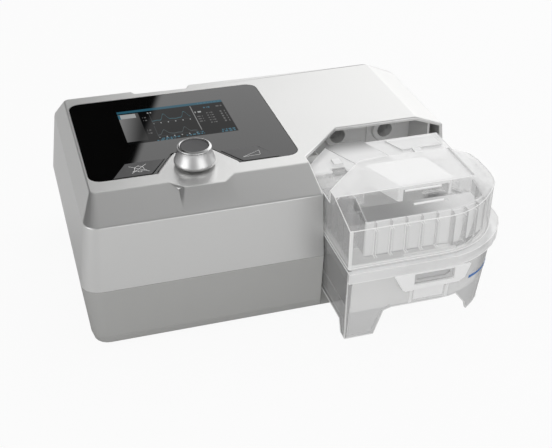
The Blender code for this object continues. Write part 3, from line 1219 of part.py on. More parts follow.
def back_fittings():
    """Filter, muffler, hinged cover, power inlet and memory card."""
    filter_back = INLET_FACE_Y - SEAT_GAP
    filter_front = filter_back - FILTER_THICK
    solid("air_filter", prism(
        inlet_outline(-SEAT_GAP), filter_front, filter_back, "y"), FOAM, MACHINE)
    muffler_back = BODY_DEPTH - ROLL_INSET - WALL - OVERRUN
    muffler_back = min(muffler_back, filter_front - SEAT_GAP)
    low = INLET_LOW - WALL - OVERRUN
    muffler = solid("inlet_muffler", block(
        INLET_LEFT - WALL, muffler_back - MUFFLER_DEPTH, low,
        INLET_RIGHT + WALL, muffler_back, NOTCH_FLOOR_Z), DARK_PLASTIC, MACHINE)
    shape(muffler, "DIFFERENCE", tool("muffler_hollow", block(
        INLET_LEFT, muffler_back - MUFFLER_DEPTH + WALL, low + WALL,
        INLET_RIGHT, muffler_back + OVERRUN, NOTCH_FLOOR_Z - THIN_WALL), MACHINE),
        tool("muffler_mouth", block(
            INLET_LEFT + WALL, muffler_back - MUFFLER_DEPTH - OVERRUN, low + 2 * WALL,
            INLET_LEFT + MUFFLER_DEPTH, muffler_back - MUFFLER_DEPTH + WALL + OVERRUN,
            NOTCH_FLOOR_Z - 2 * WALL), MACHINE))

    hinge_z = INLET_LOW - COVER_OVERLAP
    cover_back = INLET_FACE_Y + SEAT_GAP + COVER_THICK
    cover = solid("filter_cover", prism(
        inlet_outline(COVER_OVERLAP), INLET_FACE_Y + SEAT_GAP, cover_back, "y"), GREY_PLASTIC,
        MACHINE, ((INLET_LEFT + INLET_RIGHT) / 2, cover_back, hinge_z))
    pitch = (INLET_RIGHT - INLET_LEFT) / COVER_SLOTS
    slots = []
    for index in range(COVER_SLOTS):
        start = INLET_LEFT + pitch * (index + (1 - COVER_SLOT_SHARE) / 2)
        slots.append(block(
            start, INLET_FACE_Y - OVERRUN, INLET_LOW + COVER_OVERLAP,
            start + pitch * COVER_SLOT_SHARE, cover_back + OVERRUN, INLET_HIGH - COVER_OVERLAP))
    shape(cover, "DIFFERENCE", tool("cover_slots", joined(slots), MACHINE))

    jack_low = JACK_FACE_Y - JACK_DEPTH
    jack = solid("power_inlet", turned([
        (0, jack_low), (JACK_RADIUS, jack_low), (JACK_RADIUS, JACK_FACE_Y),
        (JACK_BORE, JACK_FACE_Y), (JACK_BORE, jack_low + THIN_WALL),
        (JACK_PIN, jack_low + THIN_WALL), (JACK_PIN, JACK_FACE_Y - THIN_WALL),
        (0, JACK_FACE_Y - THIN_WALL),
    ], (JACK_X, 0, JACK_Z), "y", SMALL_SIDES * 2), DARK_PLASTIC, MACHINE, smooth=True)
    shape(jack, "UNION", tool("jack_foot", block(
        JACK_X - JACK_RADIUS, jack_low, POWER_BOARD_Z + BOARD_THICK + SEAT_GAP,
        JACK_X + JACK_RADIUS, jack_low + JACK_DEPTH / 2, JACK_Z - JACK_BORE - SEAT_GAP), MACHINE))

    half = CARD_WIDTH / 2
    card_back = CARD_FACE_Y + CARD_PROUD
    solid("memory_card", block(
        CARD_X - half, card_back - CARD_LENGTH, CARD_Z - CARD_THICK / 2,
        CARD_X + half, card_back, CARD_Z + CARD_THICK / 2), DARK_PLASTIC, MACHINE,
        (CARD_X, card_back, CARD_Z))
    socket_back = BODY_DEPTH - ROLL_INSET - 2 * WALL
    wide = half + SLIDE_GAP + CARD_SOCKET_WALL
    tall = CARD_THICK / 2 + SLIDE_GAP + CARD_SOCKET_WALL
    socket = solid("card_socket", block(
        CARD_X - wide, card_back - CARD_LENGTH - SLIDE_GAP - CARD_SOCKET_WALL, CARD_Z - tall,
        CARD_X + wide, socket_back, CARD_Z + tall), STEEL, MACHINE)
    shape(socket, "DIFFERENCE", tool("card_space", block(
        CARD_X - half - SLIDE_GAP, card_back - CARD_LENGTH - SLIDE_GAP,
        CARD_Z - CARD_THICK / 2 - SLIDE_GAP, CARD_X + half + SLIDE_GAP, BODY_DEPTH,
        CARD_Z + CARD_THICK / 2 + SLIDE_GAP), MACHINE))


def power():
    """Power board on four stand-offs, with its choke."""
    board = block(POWER_BOARD_LEFT, POWER_BOARD_FRONT, POWER_BOARD_Z,
                  POWER_BOARD_RIGHT, POWER_BOARD_BACK, POWER_BOARD_Z + BOARD_THICK)
    solid("power_board", board, BOARD_GREEN, MACHINE)
    top = POWER_BOARD_Z + BOARD_THICK + SEAT_GAP
    left = POWER_BOARD_LEFT + COIL_SIZE / 2
    front = POWER_BOARD_FRONT + COIL_SIZE / 2
    bore = COIL_SIZE / 2 * COIL_BORE_SHARE
    solid("power_choke", turned([
        (bore, top), (COIL_SIZE / 2, top), (COIL_SIZE / 2, top + COIL_HEIGHT),
        (bore, top + COIL_HEIGHT),
    ], (left + COIL_SIZE / 2, front + COIL_SIZE / 2, 0), "z", SMALL_SIDES * 2), DARK_PLASTIC,
        MACHINE, smooth=True)


def heater():
    """Metal heater plate on its insulating block, on the bay's floor."""
    top = TUB_FLOOR_Z - BASE_PLATE - SEAT_GAP - SLIDE_GAP
    plate_low = top - HEATER_PLATE
    outline = rounded_rectangle(
        HEATER_LEFT, HEATER_FRONT, HEATER_RIGHT, HEATER_BACK, HEATER_CORNER, FEW_STEPS)
    solid("heater_plate", prism(outline, plate_low, top), ALUMINIUM, MACHINE)
    solid("heater_block", prism(
        inset_outline(outline, -HEATER_RIM), FLOOR_TOP + SEAT_GAP, plate_low - SEAT_GAP),
        DARK_PLASTIC, MACHINE)


# Water tank, in the places of the pushed-in tank

CARRIAGE = empty("tank_carriage", MACHINE, (0, -TANK_PULL, 0))
LID_AXIS = empty("lid_axis", CARRIAGE, (0, HINGE_Y, HINGE_Z))
REAR_FRONT = LID_BACK + SLIDE_GAP


def tank_outline(inset=0.0, proud=0.0):
    """Plan of the tank: straight left side, round front right, drawn in behind, back corner cut.

    inset moves all of it in, and proud pushes only the front and the right out.
    """
    front = TANK_FRONT - proud
    right = TANK_RIGHT + proud
    radius = TANK_ROUND + proud
    bend_in, bend_back = [(right - TANK_STEP_X) * share for share in STEP_BEND_SHARES]
    outline = (
        [(TANK_LEFT, front)]
        + arc(right - radius, front + radius, radius, -90, 0, ROUND_STEPS)
        + [(right, TANK_STEP_Y), (right - bend_in, TANK_STEP_Y + bend_back),
           (TANK_STEP_X, TANK_STEP_BACK),
           (TANK_STEP_X, TANK_BACK), (TANK_LEFT + TANK_CORNER_X, TANK_BACK),
           (TANK_LEFT, TANK_BACK - TANK_CORNER_Y)]
    )
    return inset_outline(outline, inset) if inset else outline


def at(outline, z):
    """A plan outline lifted to a height."""
    return [(x, y, z) for x, y in outline]


def skirt_taper(z):
    """How far the tub's side leans in at a height below the flange."""
    return TUB_TAPER * (FLANGE_LOW - z) / (FLANGE_LOW - TUB_BOTTOM_Z)


def tub():
    """The clear tub: cup, flange, side skirts and two front feet, all one moulding."""
    skin = solid("tank_tub", loft([
        at(tank_outline(skirt_taper(TUB_BOTTOM_Z)), TUB_BOTTOM_Z),
        at(tank_outline(HAIR), FLANGE_LOW),
        at(tank_outline(0, FLANGE_PROUD), FLANGE_LOW + SEAT_GAP),
        at(tank_outline(0, FLANGE_PROUD), FLANGE_HIGH),
    ]), CLEAR, CARRIAGE)
    cup_low = TUB_FLOOR_Z + TANK_WALL
    cup = tool("cup_space", loft([
        at(tank_outline(skirt_taper(cup_low) + TANK_WALL), cup_low),
        at(tank_outline(TANK_WALL), FLANGE_LOW),
        at(tank_outline(TANK_WALL), FLANGE_HIGH + OVERRUN),
    ]), CARRIAGE)
    shape(cup, "DIFFERENCE", tool("catch_housing", block(
        CATCH_LEFT - 2 * TANK_WALL, -OVERRUN, CATCH_LOW - 2 * TANK_WALL,
        CATCH_RIGHT + 2 * TANK_WALL, CATCH_POCKET + TANK_WALL, FLANGE_HIGH + 2 * OVERRUN), CARRIAGE))
    below = tool("below_space", loft([
        at(tank_outline(skirt_taper(TUB_BOTTOM_Z) + TANK_WALL), TUB_BOTTOM_Z - OVERRUN),
        at(tank_outline(skirt_taper(TUB_FLOOR_Z) + TANK_WALL), TUB_FLOOR_Z),
    ]), CARRIAGE)
    arch = list(zip(ARCH_X, ARCH_Z))
    arch = [(arch[0][0], -OVERRUN)] + arch + [(arch[-1][0], -OVERRUN)]
    front_arch = tool("front_arch", prism(arch, -OVERRUN, BAY_MOUTH_SIDE_Y, "y"), CARRIAGE)
    far = TANK_BACK + OVERRUN
    left_side = tool("left_side", prism([
        (LEFT_FOOT_BACK, -OVERRUN), (far, -OVERRUN), (far, SKIRT_SIDE_Z),
        (LEFT_FOOT_BACK + FOOT_RAKE, SKIRT_SIDE_Z)], TANK_LEFT - OVERRUN, TANK_X, "x"), CARRIAGE)
    right_side = tool("right_side", prism([
        (RIGHT_FOOT_BACK, -OVERRUN), (far, -OVERRUN), (far, ARCH_TOP_Z),
        (RIGHT_FOOT_BACK + FOOT_RAKE, ARCH_TOP_Z)], TANK_X, BODY_RIGHT, "x"), CARRIAGE)
    back_open = tool("back_open", block(
        TANK_LEFT - OVERRUN, BAY_ROOF_Y, -OVERRUN, BODY_RIGHT, far, TUB_FLOOR_Z - HAIR),
        CARRIAGE)
    pocket = tool("catch_pocket", block(
        CATCH_LEFT, -OVERRUN, CATCH_LOW, CATCH_RIGHT, CATCH_POCKET, CATCH_HIGH), CARRIAGE)
    shape(skin, "DIFFERENCE", cup, below, front_arch, left_side, right_side, back_open, pocket)

    heat_outline = rounded_rectangle(
        HEATER_LEFT, HEATER_FRONT, HEATER_RIGHT, HEATER_BACK, HEATER_CORNER, FEW_STEPS)
    solid("tank_base_plate", prism(
        heat_outline, TUB_FLOOR_Z - SEAT_GAP - BASE_PLATE, TUB_FLOOR_Z - SEAT_GAP), STEEL, CARRIAGE)

    seal_outer = tank_outline(RIM_SEAL_INSET)
    seal = solid("rim_seal", prism(seal_outer, FLANGE_HIGH + SEAT_GAP, LID_LOW - SEAT_GAP),
                 SILICONE, CARRIAGE)
    shape(seal, "DIFFERENCE", tool("seal_hole", prism(
        tank_outline(RIM_SEAL_INSET + RIM_SEAL_WIDTH), FLANGE_HIGH - OVERRUN, LID_LOW + OVERRUN),
        CARRIAGE))


def handle_and_catch():
    """The white pull plate under the flange, with the release catch in its window."""
    front = TANK_FRONT - FLANGE_PROUD
    handle = solid("pull_handle", prism(
        list(zip(HANDLE_X, HANDLE_Z)), front, front + HANDLE_THICK, "y"), WHITE_PLASTIC, CARRIAGE)
    shape(handle, "DIFFERENCE", tool("handle_window", block(
        CATCH_LEFT, -OVERRUN, CATCH_LOW, CATCH_RIGHT, CATCH_POCKET, CATCH_HIGH), CARRIAGE))
    room = SLIDE_GAP
    face = front + HANDLE_THICK
    catch = solid("release_catch", prism([
        (CATCH_LEFT + room, CATCH_LOW + room), (CATCH_RIGHT - room, CATCH_LOW + room),
        (CATCH_RIGHT - room, CATCH_HIGH - room), (CATCH_LEFT + room, CATCH_HIGH - room),
    ], face, face + CATCH_THICK, "y"), WHITE_PLASTIC, CARRIAGE,
        ((CATCH_LEFT + CATCH_RIGHT) / 2, face, (CATCH_LOW + CATCH_HIGH) / 2))
    rim = THIN_WALL
    scoop = tool("catch_scoop", prism([
        (CATCH_LEFT + room + rim, CATCH_LOW + room + rim),
        (CATCH_RIGHT - room - 3 * rim, CATCH_LOW + room + rim),
        (CATCH_RIGHT - room - rim, CATCH_HIGH - room - 2 * rim),
        (CATCH_RIGHT - room - rim, CATCH_HIGH - room - rim),
        (CATCH_LEFT + room + rim, CATCH_HIGH - room - rim),
    ], face - OVERRUN, face + CATCH_SCOOP, "y"), CARRIAGE)
    shape(catch, "DIFFERENCE", scoop)


def rib_places(inset):
    """Middle and direction of each stiffening rib round the lid's front and right."""
    places = []
    x = TANK_LEFT + RIB_START_SHARE * RIB_PITCH
    centre_x = TANK_RIGHT - TANK_ROUND
    centre_y = TANK_FRONT + TANK_ROUND
    while x < centre_x:
        places.append((x, TANK_FRONT + inset, 0.0))
        x += RIB_PITCH
    radius = TANK_ROUND - inset
    count = int(TANK_ROUND * math.pi / 2 / RIB_PITCH)
    for index in range(1, count + 1):
        angle = math.pi / 2 * index / count
        places.append((
            centre_x + radius * math.sin(angle), centre_y - radius * math.cos(angle), angle))
    return places


def on_lid(bm):
    """The mesh moved from the tank's frame to the lid's hinge axis."""
    bmesh.ops.translate(bm, verts=bm.verts, vec=(0, -HINGE_Y, -HINGE_Z))
    return bm


def lid():
    """The clear lid: its top carries on the housing's own slopes, and it steps down at the back."""
    high = TOP_Z + OVERRUN
    swing = LID_AXIS

    def rear_step(drop, forward):
        left = TANK_LEFT - OVERRUN
        slope = (BAY_ROOF_Y - BAY_MOUTH_SIDE_Y) / (BAY_ROOF_X - BAY_LEFT)
        start = BAY_MOUTH_SIDE_Y - SLIDE_GAP - forward - (BAY_LEFT - left) * slope
        return prism([
            (left, start), (BAY_ROOF_X, BAY_ROOF_Y - SLIDE_GAP - forward),
            (BODY_RIGHT + OVERRUN, BAY_ROOF_Y - SLIDE_GAP - forward),
            (BODY_RIGHT + OVERRUN, BAY_BACK + OVERRUN), (left, BAY_BACK + OVERRUN),
        ], LID_STEP_Z - drop, high)

    body_form = tool("lid_top_form", on_lid(loft(upper_levels(0, SEAM_Z))), swing)
    step_cut = tool("lid_step", on_lid(rear_step(0, 0)), swing)
    skin = solid("tank_lid", on_lid(prism(tank_outline(), LID_LOW, high)), CLEAR, swing)
    behind = tool("behind_lid", on_lid(block(
        TANK_LEFT - OVERRUN, LID_BACK, SEAM_Z, BODY_RIGHT, TANK_BACK + OVERRUN, high)), swing)
    shape(skin, "INTERSECT", body_form)
    shape(skin, "DIFFERENCE", step_cut, behind)

    inner_form = tool("lid_inner_form", on_lid(loft(upper_levels(LID_WALL, SEAM_Z))), swing)
    inner_step = tool("lid_inner_step", on_lid(rear_step(LID_WALL, LID_WALL)), swing)
    inner_back = tool("lid_inner_back", on_lid(block(
        TANK_LEFT - OVERRUN, LID_BACK - LID_WALL, 0, BODY_RIGHT, BODY_DEPTH, high + OVERRUN)),
        swing)
    space = tool("lid_space", on_lid(prism(
        tank_outline(TANK_WALL), LID_LOW - OVERRUN, high)), swing)
    shape(space, "INTERSECT", inner_form)
    shape(space, "DIFFERENCE", inner_step, inner_back)
    ribs = []
    rib_top = RIDGE_Z - 2 * LID_WALL
    for x, y, angle in rib_places(TANK_WALL - SEAT_GAP):
        deep = RIB_DEPTH + SEAT_GAP
        rib = block(-RIB_THICK / 2, 0, RIB_LOW, RIB_THICK / 2, deep, rib_top)
        bmesh.ops.rotate(rib, cent=(0, 0, 0), verts=rib.verts,
                         matrix=Matrix.Rotation(angle, 3, "Z"))
        bmesh.ops.translate(rib, verts=rib.verts, vec=(x, y, 0))
        ribs.append(rib)
    shape(space, "DIFFERENCE", tool("lid_ribs", on_lid(joined(ribs)), swing))
    grips = []
    left = TANK_X - GRIP_LENGTH / 2
    right = TANK_X + GRIP_LENGTH / 2
    slope = (TOP_Z - RIDGE_Z) / (TOP_FROM_FRONT - RIDGE_INSET)
    for y in GRIP_Y:
        z = RIDGE_Z + (y - RIDGE_INSET) * slope
        grips.append(prism(rounded_corners([
            (left, y - GRIP_WIDTH / 2), (right, y - GRIP_WIDTH / 2),
            (right, y + GRIP_WIDTH / 2), (left, y + GRIP_WIDTH / 2),
        ], GRIP_WIDTH * GRIP_END_SHARE, FEW_STEPS), z - GRIP_PROUD, z + GRIP_PROUD))
    shape(skin, "DIFFERENCE", space)
    shape(skin, "DIFFERENCE", tool("lid_window", on_lid(block(
        LID_WINDOW_X[0], LID_BACK - LID_WALL - SEAT_GAP, LID_LOW - OVERRUN, LID_WINDOW_X[1],
        LID_BACK + OVERRUN, BAY_PORT_Z + BAY_PORT_RADIUS)), swing))
    arms = []
    bores = []
    half = KNUCKLE_LENGTH / 2
    rooted = LID_BACK - LID_WALL / 2
    arm_side = arc(HINGE_Y, HINGE_Z, KNUCKLE_RADIUS, -90, 90, CORNER_STEPS + 1)
    arm_side = arm_side + [(rooted, HINGE_Z + KNUCKLE_RADIUS), (rooted, HINGE_Z - KNUCKLE_RADIUS)]
    for x in HINGE_X.values():
        arms.append(prism(arm_side, x - half, x + half, "x"))
        bores.append(across_rod(HINGE_RADIUS + SEAT_GAP, x - 2 * half, x + 2 * half, SMALL_SIDES))
    for index, arm in enumerate(arms):
        shape(skin, "UNION", tool(f"lid_arm_{index}", on_lid(arm), swing))
    shape(skin, "DIFFERENCE", tool("lid_bores", on_lid(joined(bores)), swing))
    shape(skin, "UNION", tool("lid_grips", on_lid(joined(grips)), swing))


def air_guide():
    """The white hood under the lid's top: open below, with a mouth under its front lip."""
    top = TOP_Z - LID_WALL - SEAT_GAP - LID_WALL / 2
    low = top - AIR_GUIDE_DROP
    plan = [
        (AIR_GUIDE_FRONT_X[0], AIR_GUIDE_FRONT), (AIR_GUIDE_FRONT_X[1], AIR_GUIDE_FRONT),
        (AIR_GUIDE_BACK_X[1], AIR_GUIDE_BACK), (AIR_GUIDE_BACK_X[0], AIR_GUIDE_BACK)]
    guide = solid("air_guide", on_lid(prism(
        rounded_corners(plan, TOP_CORNER / 2, FEW_STEPS), low, top)), WHITE_PLASTIC, LID_AXIS)
    inside = 2 * THIN_WALL
    shape(
        guide, "DIFFERENCE",
        tool("guide_hollow", on_lid(prism(
            inset_outline(plan, THIN_WALL), low - OVERRUN, top - THIN_WALL)), LID_AXIS),
        tool("guide_back", on_lid(block(
            AIR_GUIDE_BACK_X[0] + inside, AIR_GUIDE_BACK - inside, low - OVERRUN,
            AIR_GUIDE_BACK_X[1] - inside, AIR_GUIDE_BACK + OVERRUN, top - THIN_WALL)), LID_AXIS),
        tool("guide_mouth", on_lid(block(
            AIR_GUIDE_FRONT_X[0] + inside, AIR_GUIDE_FRONT - OVERRUN, low - OVERRUN,
            AIR_GUIDE_FRONT_X[1] - inside, AIR_GUIDE_FRONT + inside, top - AIR_GUIDE_LIP)),
            LID_AXIS))


def across_rod(radius, left, right, sides):
    """A bar along x on the lid's hinge axis."""
    bar = rod(radius, left, right, (0, 0, 0), "z", sides)
    bmesh.ops.rotate(bar, cent=(0, 0, 0), verts=bar.verts,
                     matrix=Matrix.Rotation(math.pi / 2, 3, "Y"))
    bmesh.ops.translate(bar, verts=bar.verts, vec=(0, HINGE_Y, HINGE_Z))
    return bar


def trough(grow):
    """The air channel sunk slantwise into the top behind the hood, or its wall's outside."""
    radius = TROUGH_RADIUS + grow
    half = math.degrees(math.acos(1 - TROUGH_DEPTH / TROUGH_RADIUS))
    middle = LID_STEP_Z - TROUGH_DEPTH + TROUGH_RADIUS
    sections = []
    for x, y in zip(TROUGH_X, (LID_BACK - grow, TANK_BACK + OVERRUN)):
        bowl = arc(x, middle, radius, -90 - half, -90 + half, CORNER_STEPS + 1)
        outline = [(bowl[0][0], TOP_Z + OVERRUN)] + bowl + [(bowl[-1][0], TOP_Z + OVERRUN)]
        sections.append([(across, y, up) for across, up in outline])
    return loft(sections)


def nose_cut():
    """What rounds off the rear cover's upper front edge, so that the lid can swing past it."""
    outline = arc(HINGE_Y, HINGE_Z, HINGE_Y - REAR_FRONT, 90, 180, CORNER_STEPS)
    outline = outline + [(REAR_FRONT - OVERRUN, HINGE_Z), (REAR_FRONT - OVERRUN, TOP_Z),
                         (HINGE_Y, TOP_Z)]
    return prism(outline, TANK_LEFT - OVERRUN, BODY_RIGHT, "x")


def rear_pad():
    """The raised pad on the rear cover, to the right of the trough."""
    front, back = [REAR_FRONT + depth for depth in REAR_PAD_Y]
    return prism([
        (REAR_PAD_FRONT_X[0], front), (REAR_PAD_FRONT_X[1], front),
        (REAR_PAD_BACK_X[1], back), (REAR_PAD_BACK_X[0], back),
    ], LID_STEP_Z - SEAT_GAP, LID_STEP_Z + REAR_PAD_PROUD)


def rear_hook(x):
    """One snap hook, side view pushed across: a post whose top leans out over the front."""
    front = REAR_FRONT + HOOK_Y
    lip = front - HOOK_DEPTH * HOOK_LIP_SHARE
    top = LID_STEP_Z + HOOK_PROUD
    return prism([
        (front, LID_STEP_Z - SEAT_GAP), (front + HOOK_DEPTH, LID_STEP_Z - SEAT_GAP),
        (front + HOOK_DEPTH, top), (lip, top), (lip, top - HOOK_PROUD * HOOK_LIP_SHARE),
        (front, top - HOOK_PROUD * HOOK_LIP_SHARE),
    ], x - HOOK_WIDTH / 2, x + HOOK_WIDTH / 2, "x")


def rear_cover():
    """The fixed rear of the tank's top: ports at the back, hinge ears and pins at the front."""
    cover = solid("tank_rear_cover", prism(tank_outline(), LID_LOW, LID_STEP_Z), CLEAR, CARRIAGE)
    ahead = tool("ahead_of_rear", block(
        TANK_LEFT - OVERRUN, -OVERRUN, SEAM_Z, BODY_RIGHT, REAR_FRONT, TOP_Z), CARRIAGE)
    space = tool("rear_space", prism(
        tank_outline(TANK_WALL), LID_LOW - OVERRUN, LID_STEP_Z - LID_WALL), CARRIAGE)
    shape(space, "DIFFERENCE", tool("ahead_of_space", block(
        TANK_LEFT - OVERRUN, -OVERRUN, 0, BODY_RIGHT, REAR_FRONT + LID_WALL, TOP_Z), CARRIAGE),
        tool("rear_trough_wall", trough(LID_WALL), CARRIAGE))
    shape(cover, "DIFFERENCE", ahead, space, tool("rear_trough", trough(0), CARRIAGE),
          tool("rear_ports", joined([
              rod(BAY_PORT_RADIUS, -OVERRUN, OVERRUN, (x, TANK_BACK, BAY_PORT_Z), "y",
                  SMALL_SIDES * 2) for x in (SUPPLY_PORT_X, RETURN_PORT_X)]), CARRIAGE),
          tool("rear_window", block(
              LID_WINDOW_X[0], REAR_FRONT - OVERRUN, LID_LOW - OVERRUN, LID_WINDOW_X[1],
              REAR_FRONT + LID_WALL + SEAT_GAP, BAY_PORT_Z + BAY_PORT_RADIUS), CARRIAGE))
    shape(cover, "UNION", tool("rear_pad", rear_pad(), CARRIAGE),
          tool("rear_hooks", joined([rear_hook(x) for x in HOOK_X]), CARRIAGE))
    reach = KNUCKLE_LENGTH / 2 + SLIDE_GAP
    for side, x in HINGE_X.items():
        shape(cover, "UNION", tool(f"ear_{side}", block(
            x - reach - HINGE_EAR, REAR_FRONT + SEAT_GAP, HINGE_Z - KNUCKLE_RADIUS - LID_WALL,
            x + reach + HINGE_EAR, HINGE_Y + KNUCKLE_RADIUS + SLIDE_GAP + LID_WALL,
            LID_STEP_Z - SEAT_GAP), CARRIAGE))
    shape(cover, "DIFFERENCE", tool("rear_nose", nose_cut(), CARRIAGE))
    for side, x in HINGE_X.items():
        shape(cover, "DIFFERENCE", tool(f"ear_slot_{side}", block(
            x - reach, REAR_FRONT - OVERRUN, HINGE_Z - KNUCKLE_RADIUS - SLIDE_GAP,
            x + reach, HINGE_Y + KNUCKLE_RADIUS + SLIDE_GAP, TOP_Z), CARRIAGE),
            tool(f"ear_bore_{side}", across_rod(
                HINGE_RADIUS + SEAT_GAP, x - reach - HINGE_EAR + LID_WALL / 2,
                x + reach + HINGE_EAR + OVERRUN, SMALL_SIDES), CARRIAGE))
        solid(f"hinge_pin_{side}", across_rod(
            HINGE_RADIUS, x - reach - HINGE_EAR + LID_WALL / 2 + SEAT_GAP, x + reach + HINGE_EAR,
            SMALL_SIDES), STEEL, CARRIAGE, (x, HINGE_Y, HINGE_Z))


housings()
feet()
display()
board_screws()
keys()
knob()
blower()
air_path()
back_fittings()
power()
heater()
tub()
handle_and_catch()
lid()
air_guide()
rear_cover()
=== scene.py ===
"""Looks of a bilevel positive airway pressure machine with its water tank part way out.

Every place is worked out in the machine's own frame, in metres: x runs right from the housing's
left side, y back from its front, both at the seam, and z up from the table.  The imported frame's
origin lies under the middle of the whole outline, so one offset joins the two.
"""
import logging
import math
from dataclasses import dataclass
from enum import Enum
from typing import Callable, Sequence

import bmesh
import bpy
from mathutils import Matrix, Vector


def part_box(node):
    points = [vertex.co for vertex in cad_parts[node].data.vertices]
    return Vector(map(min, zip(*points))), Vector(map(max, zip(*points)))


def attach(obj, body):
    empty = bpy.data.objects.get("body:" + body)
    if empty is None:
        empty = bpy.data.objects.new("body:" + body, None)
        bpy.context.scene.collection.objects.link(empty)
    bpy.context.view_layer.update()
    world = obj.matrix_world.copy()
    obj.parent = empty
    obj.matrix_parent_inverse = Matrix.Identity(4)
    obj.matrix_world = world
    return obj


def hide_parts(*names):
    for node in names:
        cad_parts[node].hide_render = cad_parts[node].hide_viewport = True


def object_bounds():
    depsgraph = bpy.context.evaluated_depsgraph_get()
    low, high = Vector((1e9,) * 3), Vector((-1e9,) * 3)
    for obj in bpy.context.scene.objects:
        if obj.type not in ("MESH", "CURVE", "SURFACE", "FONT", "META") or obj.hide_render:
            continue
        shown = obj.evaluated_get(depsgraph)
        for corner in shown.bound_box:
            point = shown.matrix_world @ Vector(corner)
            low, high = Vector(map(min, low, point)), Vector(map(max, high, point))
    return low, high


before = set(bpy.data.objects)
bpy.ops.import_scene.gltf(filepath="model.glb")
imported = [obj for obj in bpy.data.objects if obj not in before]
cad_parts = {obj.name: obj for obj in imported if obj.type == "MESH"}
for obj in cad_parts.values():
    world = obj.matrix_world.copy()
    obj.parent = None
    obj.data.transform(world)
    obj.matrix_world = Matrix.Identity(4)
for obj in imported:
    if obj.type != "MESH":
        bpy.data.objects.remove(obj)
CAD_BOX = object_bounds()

log = logging.getLogger("scene")

Point = tuple[float, float, float]
Flat = tuple[float, float]
Colour = tuple[float, float, float]
Socket = bpy.types.NodeSocket
Node = bpy.types.Node
Material = bpy.types.Material
Piece = bpy.types.Object
Edge = bmesh.types.BMEdge
EdgeTest = Callable[[Edge], bool]

MERGE = 0.000002
FLAT_ANGLE = 0.6


class Body(Enum):
    """The bodies that the pieces of this script ride on."""

    MACHINE = "machine"
    TANK = "water_tank"
    LID = "lid"
    CATCH = "catch"
    KNOB = "knob_turn"
    MUTE = "mute_button"
    RAMP = "ramp_button"
    DOOR = "filter_door"
    CARD = "card"


class Slot(Enum):
    """The record's material slots that those pieces' finishes belong to; the script passes them along but
    sets none.
    """

    SILVER = "silver_paint"
    GREY = "grey_plastic"
    WINDOW = "window_glass"
    KEY = "key_plastic"
    CHROME = "satin_chrome"
    DISC = "knob_disc"
    CLEAR = "clear_plastic"
    WHITE = "white_plastic"
    RUBBER = "foot_rubber"
    BLACK = "black_plastic"


@dataclass(frozen=True)
class Places:
    """Where the machine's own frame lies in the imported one."""

    left: float
    front: float

    @classmethod
    def read(cls) -> "Places":
        """Find the offset from the lower housing's box.

        Returns:
            The places, with the left side of the housing and its front face.
        """
        low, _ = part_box("lower_housing")
        return cls(left=low.x, front=low.y)

    def at(self, x: float, y: float, z: float) -> Vector:
        """A point of the machine's own frame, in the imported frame."""
        return Vector((self.left + x, self.front + y, z))


PLACES = Places.read()


def shade(colour: Colour, factor: float) -> Colour:
    """A colour made darker or lighter, and held at white."""
    return tuple(min(1.0, part * factor) for part in colour)


def grey(level: float) -> Colour:
    """A neutral grey."""
    return level, level, level


def about(centre: float, half: float) -> Flat:
    """The stretch that reaches equally far to both sides of a centre."""
    return centre - half, centre + half


class Wire:
    """A number that runs through a node tree.  Python's operators add its Math nodes."""

    def __init__(self, graph: "Graph", socket: Socket) -> None:
        """Keep the socket that carries the number, and the graph it belongs to."""
        self.graph = graph
        self.socket = socket

    def maths(self, operation: str, *others: "Wire | float") -> "Wire":
        """Add a Math node, whose first input is this number, and return its result."""
        return self.graph.maths(operation, self, *others)

    def __add__(self, other: "Wire | float") -> "Wire":
        """The sum."""
        return self.graph.maths("ADD", self, other)

    def __radd__(self, other: "Wire | float") -> "Wire":
        """The sum, from the right."""
        return self.graph.maths("ADD", other, self)

    def __sub__(self, other: "Wire | float") -> "Wire":
        """The difference."""
        return self.graph.maths("SUBTRACT", self, other)

    def __rsub__(self, other: "Wire | float") -> "Wire":
        """The difference, from the right."""
        return self.graph.maths("SUBTRACT", other, self)

    def __mul__(self, other: "Wire | float") -> "Wire":
        """The product."""
        return self.graph.maths("MULTIPLY", self, other)

    def __rmul__(self, other: "Wire | float") -> "Wire":
        """The product, from the right."""
        return self.graph.maths("MULTIPLY", other, self)

    def __truediv__(self, other: "Wire | float") -> "Wire":
        """The quotient."""
        return self.graph.maths("DIVIDE", self, other)

    def __rtruediv__(self, other: "Wire | float") -> "Wire":
        """The quotient, from the right."""
        return self.graph.maths("DIVIDE", other, self)

    def __pow__(self, other: "Wire | float") -> "Wire":
        """The power."""
        return self.graph.maths("POWER", self, other)

    def __gt__(self, other: "Wire | float") -> "Wire":
        """One where this is greater, else nought."""
        return self.graph.maths("GREATER_THAN", self, other)

    def __lt__(self, other: "Wire | float") -> "Wire":
        """One where this is less, else nought."""
        return self.graph.maths("LESS_THAN", self, other)

    def __abs__(self) -> "Wire":
        """The size without its sign."""
        return self.graph.maths("ABSOLUTE", self)

    def sine(self) -> "Wire":
        """The sine, of radians."""
        return self.graph.maths("SINE", self)

    def between(self, low: float, high: float) -> "Wire":
        """One where the number lies between two limits, else nought."""
        return (self > low) * (self < high)

    def near_one(self, spread: float) -> "Wire":
        """A noise made a factor that is one on average and changes by a spread."""
        return (1.0 - spread / 2) + spread * self


